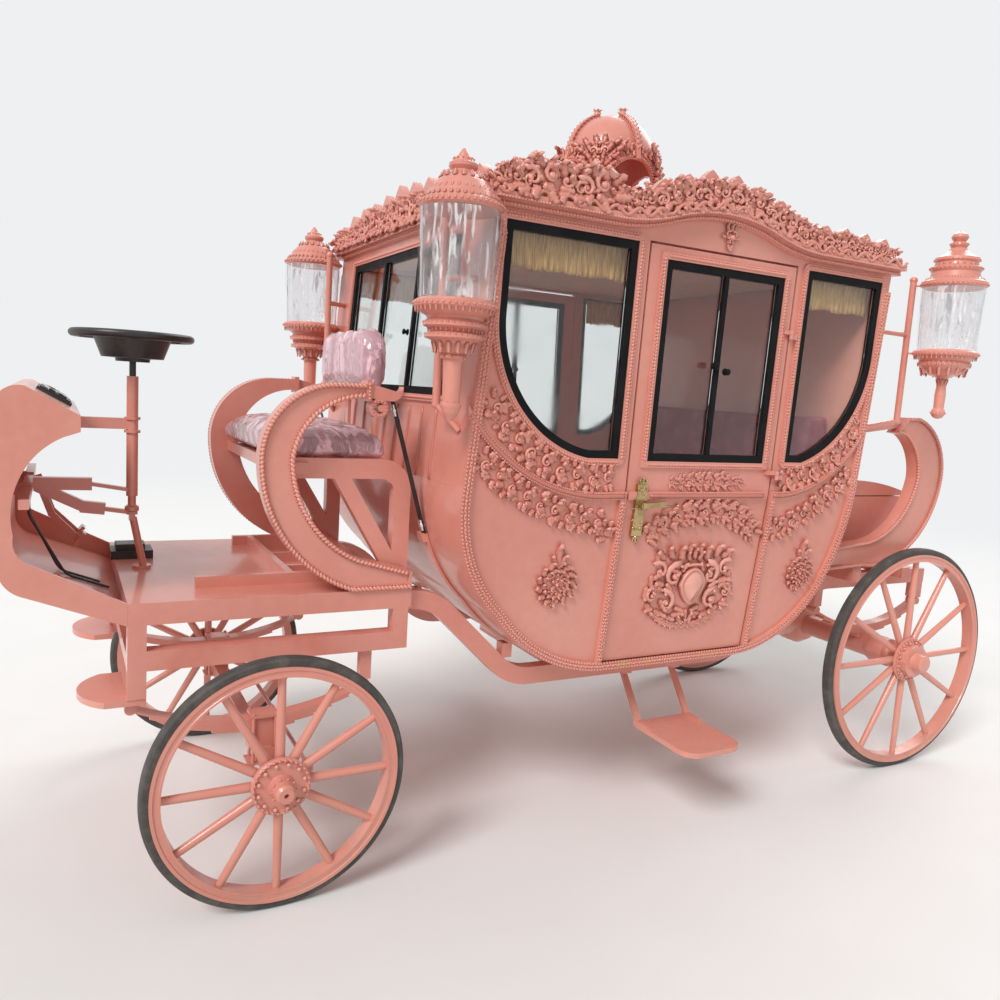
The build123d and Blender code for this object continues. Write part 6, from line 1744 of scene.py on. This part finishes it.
def gathered(back):
    """Shapes the driver's backrest: upright gathers, narrower towards its top and its foot."""
    middle = place(2796, 0, 0).x
    for v in back.data.vertices:
        gather = sin(v.co.y * 62) * 0.5 + sin(v.co.y * 117 + 1.3) * 0.3 + sin(v.co.y * 31 + 0.5) * 0.5
        v.co.x += (1 if v.co.x > middle else -1) * gather * 0.0040
        top = max(0.0, (v.co.z - 1.93) / 0.12)
        low = max(0.0, (1.90 - v.co.z) / 0.10)
        v.co.y *= 0.90 - 0.20 * top ** 2 - 0.07 * low ** 2
        v.co.z += 0.010 * gather * top + 0.020 * top ** 2 * (1 - (v.co.y / 0.37) ** 2)
    return back


class CARRIAGE_OT_cushions(bpy.types.Operator):
    """Stuffs the driver's cushion and backrest and the rear bench's cushions"""
    bl_idname = "carriage.cushions"
    bl_label = "Cushions"

    def execute(self, context):
        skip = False
        seat = cushion_block("driver_cushion_film", *DRIVER_CUSHION, skip)
        slumped(creased(seat, 0.010, 0.020, 4))
        back = cushion_block("driver_backrest_film", *DRIVER_BACKREST, skip)
        creased(gathered(back), 0.008, 0.014, 9)
        low = cushion_block("bench_seat_cushion", *BENCH_SEAT, skip)
        high = cushion_block("bench_back_cushion", *BENCH_BACK, skip)
        lean = (820 - 850) / (1830 - 1300)
        for v in high.data.vertices:
            v.co.x += (v.co.z - 1.300) * lean
        for piece in (low, high):
            for v in piece.data.vertices:
                groove = sum(max(0.0, 1 - abs(v.co.y - y) / GROOVE_HALF) for y in GROOVES)
                v.co -= v.normal * (GROOVE_DEPTH * groove)
        for piece, finish, node_name in (
                (seat, "film on lavender", "driver_cushion"), (back, "film on pink", "driver_backrest"),
                (low, "seat plush", "bench_cushions"), (high, "seat plush", "bench_cushions")):
            smooth(piece)
            kept(piece, "carriage", finishes[finish])
            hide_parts(node_name)
        return {"FINISHED"}


class CARRIAGE_OT_tidy_units(bpy.types.Operator):
    """Removes the small shapes that were only there to be repeated"""
    bl_idname = "carriage.tidy_units"
    bl_label = "Remove the loose units"

    def execute(self, context):
        for o in list(units.values()):
            bpy.data.objects.remove(o, do_unlink=True)
        units.clear()
        return {"FINISHED"}


# ---------------------------------------------------------------- panel, registration and run
STEPS = (
    CARRIAGE_OT_finishes, CARRIAGE_OT_stage, CARRIAGE_OT_units, CARRIAGE_OT_window_beads, CARRIAGE_OT_mouldings,
    CARRIAGE_OT_cornice, CARRIAGE_OT_cresting, CARRIAGE_OT_crown, CARRIAGE_OT_foliage, CARRIAGE_OT_medallions,
    CARRIAGE_OT_scroll_ropes, CARRIAGE_OT_lanterns, CARRIAGE_OT_handles, CARRIAGE_OT_hubs, CARRIAGE_OT_fittings,
    CARRIAGE_OT_tub_front, CARRIAGE_OT_window_knobs, CARRIAGE_OT_fringe, CARRIAGE_OT_ceiling, CARRIAGE_OT_cushions,
    CARRIAGE_OT_tidy_units)
GROUPS = (
    ("carriage_paint", PaintSettings), ("carriage_ornament", OrnamentSettings),
    ("carriage_upholstery", UpholsterySettings), ("carriage_stage", StageSettings))


class CARRIAGE_PT_panel(bpy.types.Panel):
    """Lists the carriage's settings and the steps that dress it"""
    bl_idname = "CARRIAGE_PT_panel"
    bl_label = "Wedding carriage"
    bl_space_type = "VIEW_3D"
    bl_region_type = "UI"
    bl_category = "Carriage"

    def draw(self, context):
        for name, group in GROUPS:
            box = self.layout.box()
            for key in group.__annotations__:
                box.prop(getattr(context.scene, name), key)
        for step in STEPS:
            self.layout.operator(step.bl_idname)


def register():
    for name, group in GROUPS:
        bpy.utils.register_class(group)
        setattr(bpy.types.Scene, name, bpy.props.PointerProperty(type=group))
    for step in (*STEPS, CARRIAGE_PT_panel):
        bpy.utils.register_class(step)


def unregister():
    for step in reversed((*STEPS, CARRIAGE_PT_panel)):
        bpy.utils.unregister_class(step)
    for name, group in reversed(GROUPS):
        delattr(bpy.types.Scene, name)
        bpy.utils.unregister_class(group)


def main():
    register()
    for step in STEPS:
        group, name = step.bl_idname.split(".")
        getattr(getattr(bpy.ops, group), name)()


if __name__ == "__main__":
    main()
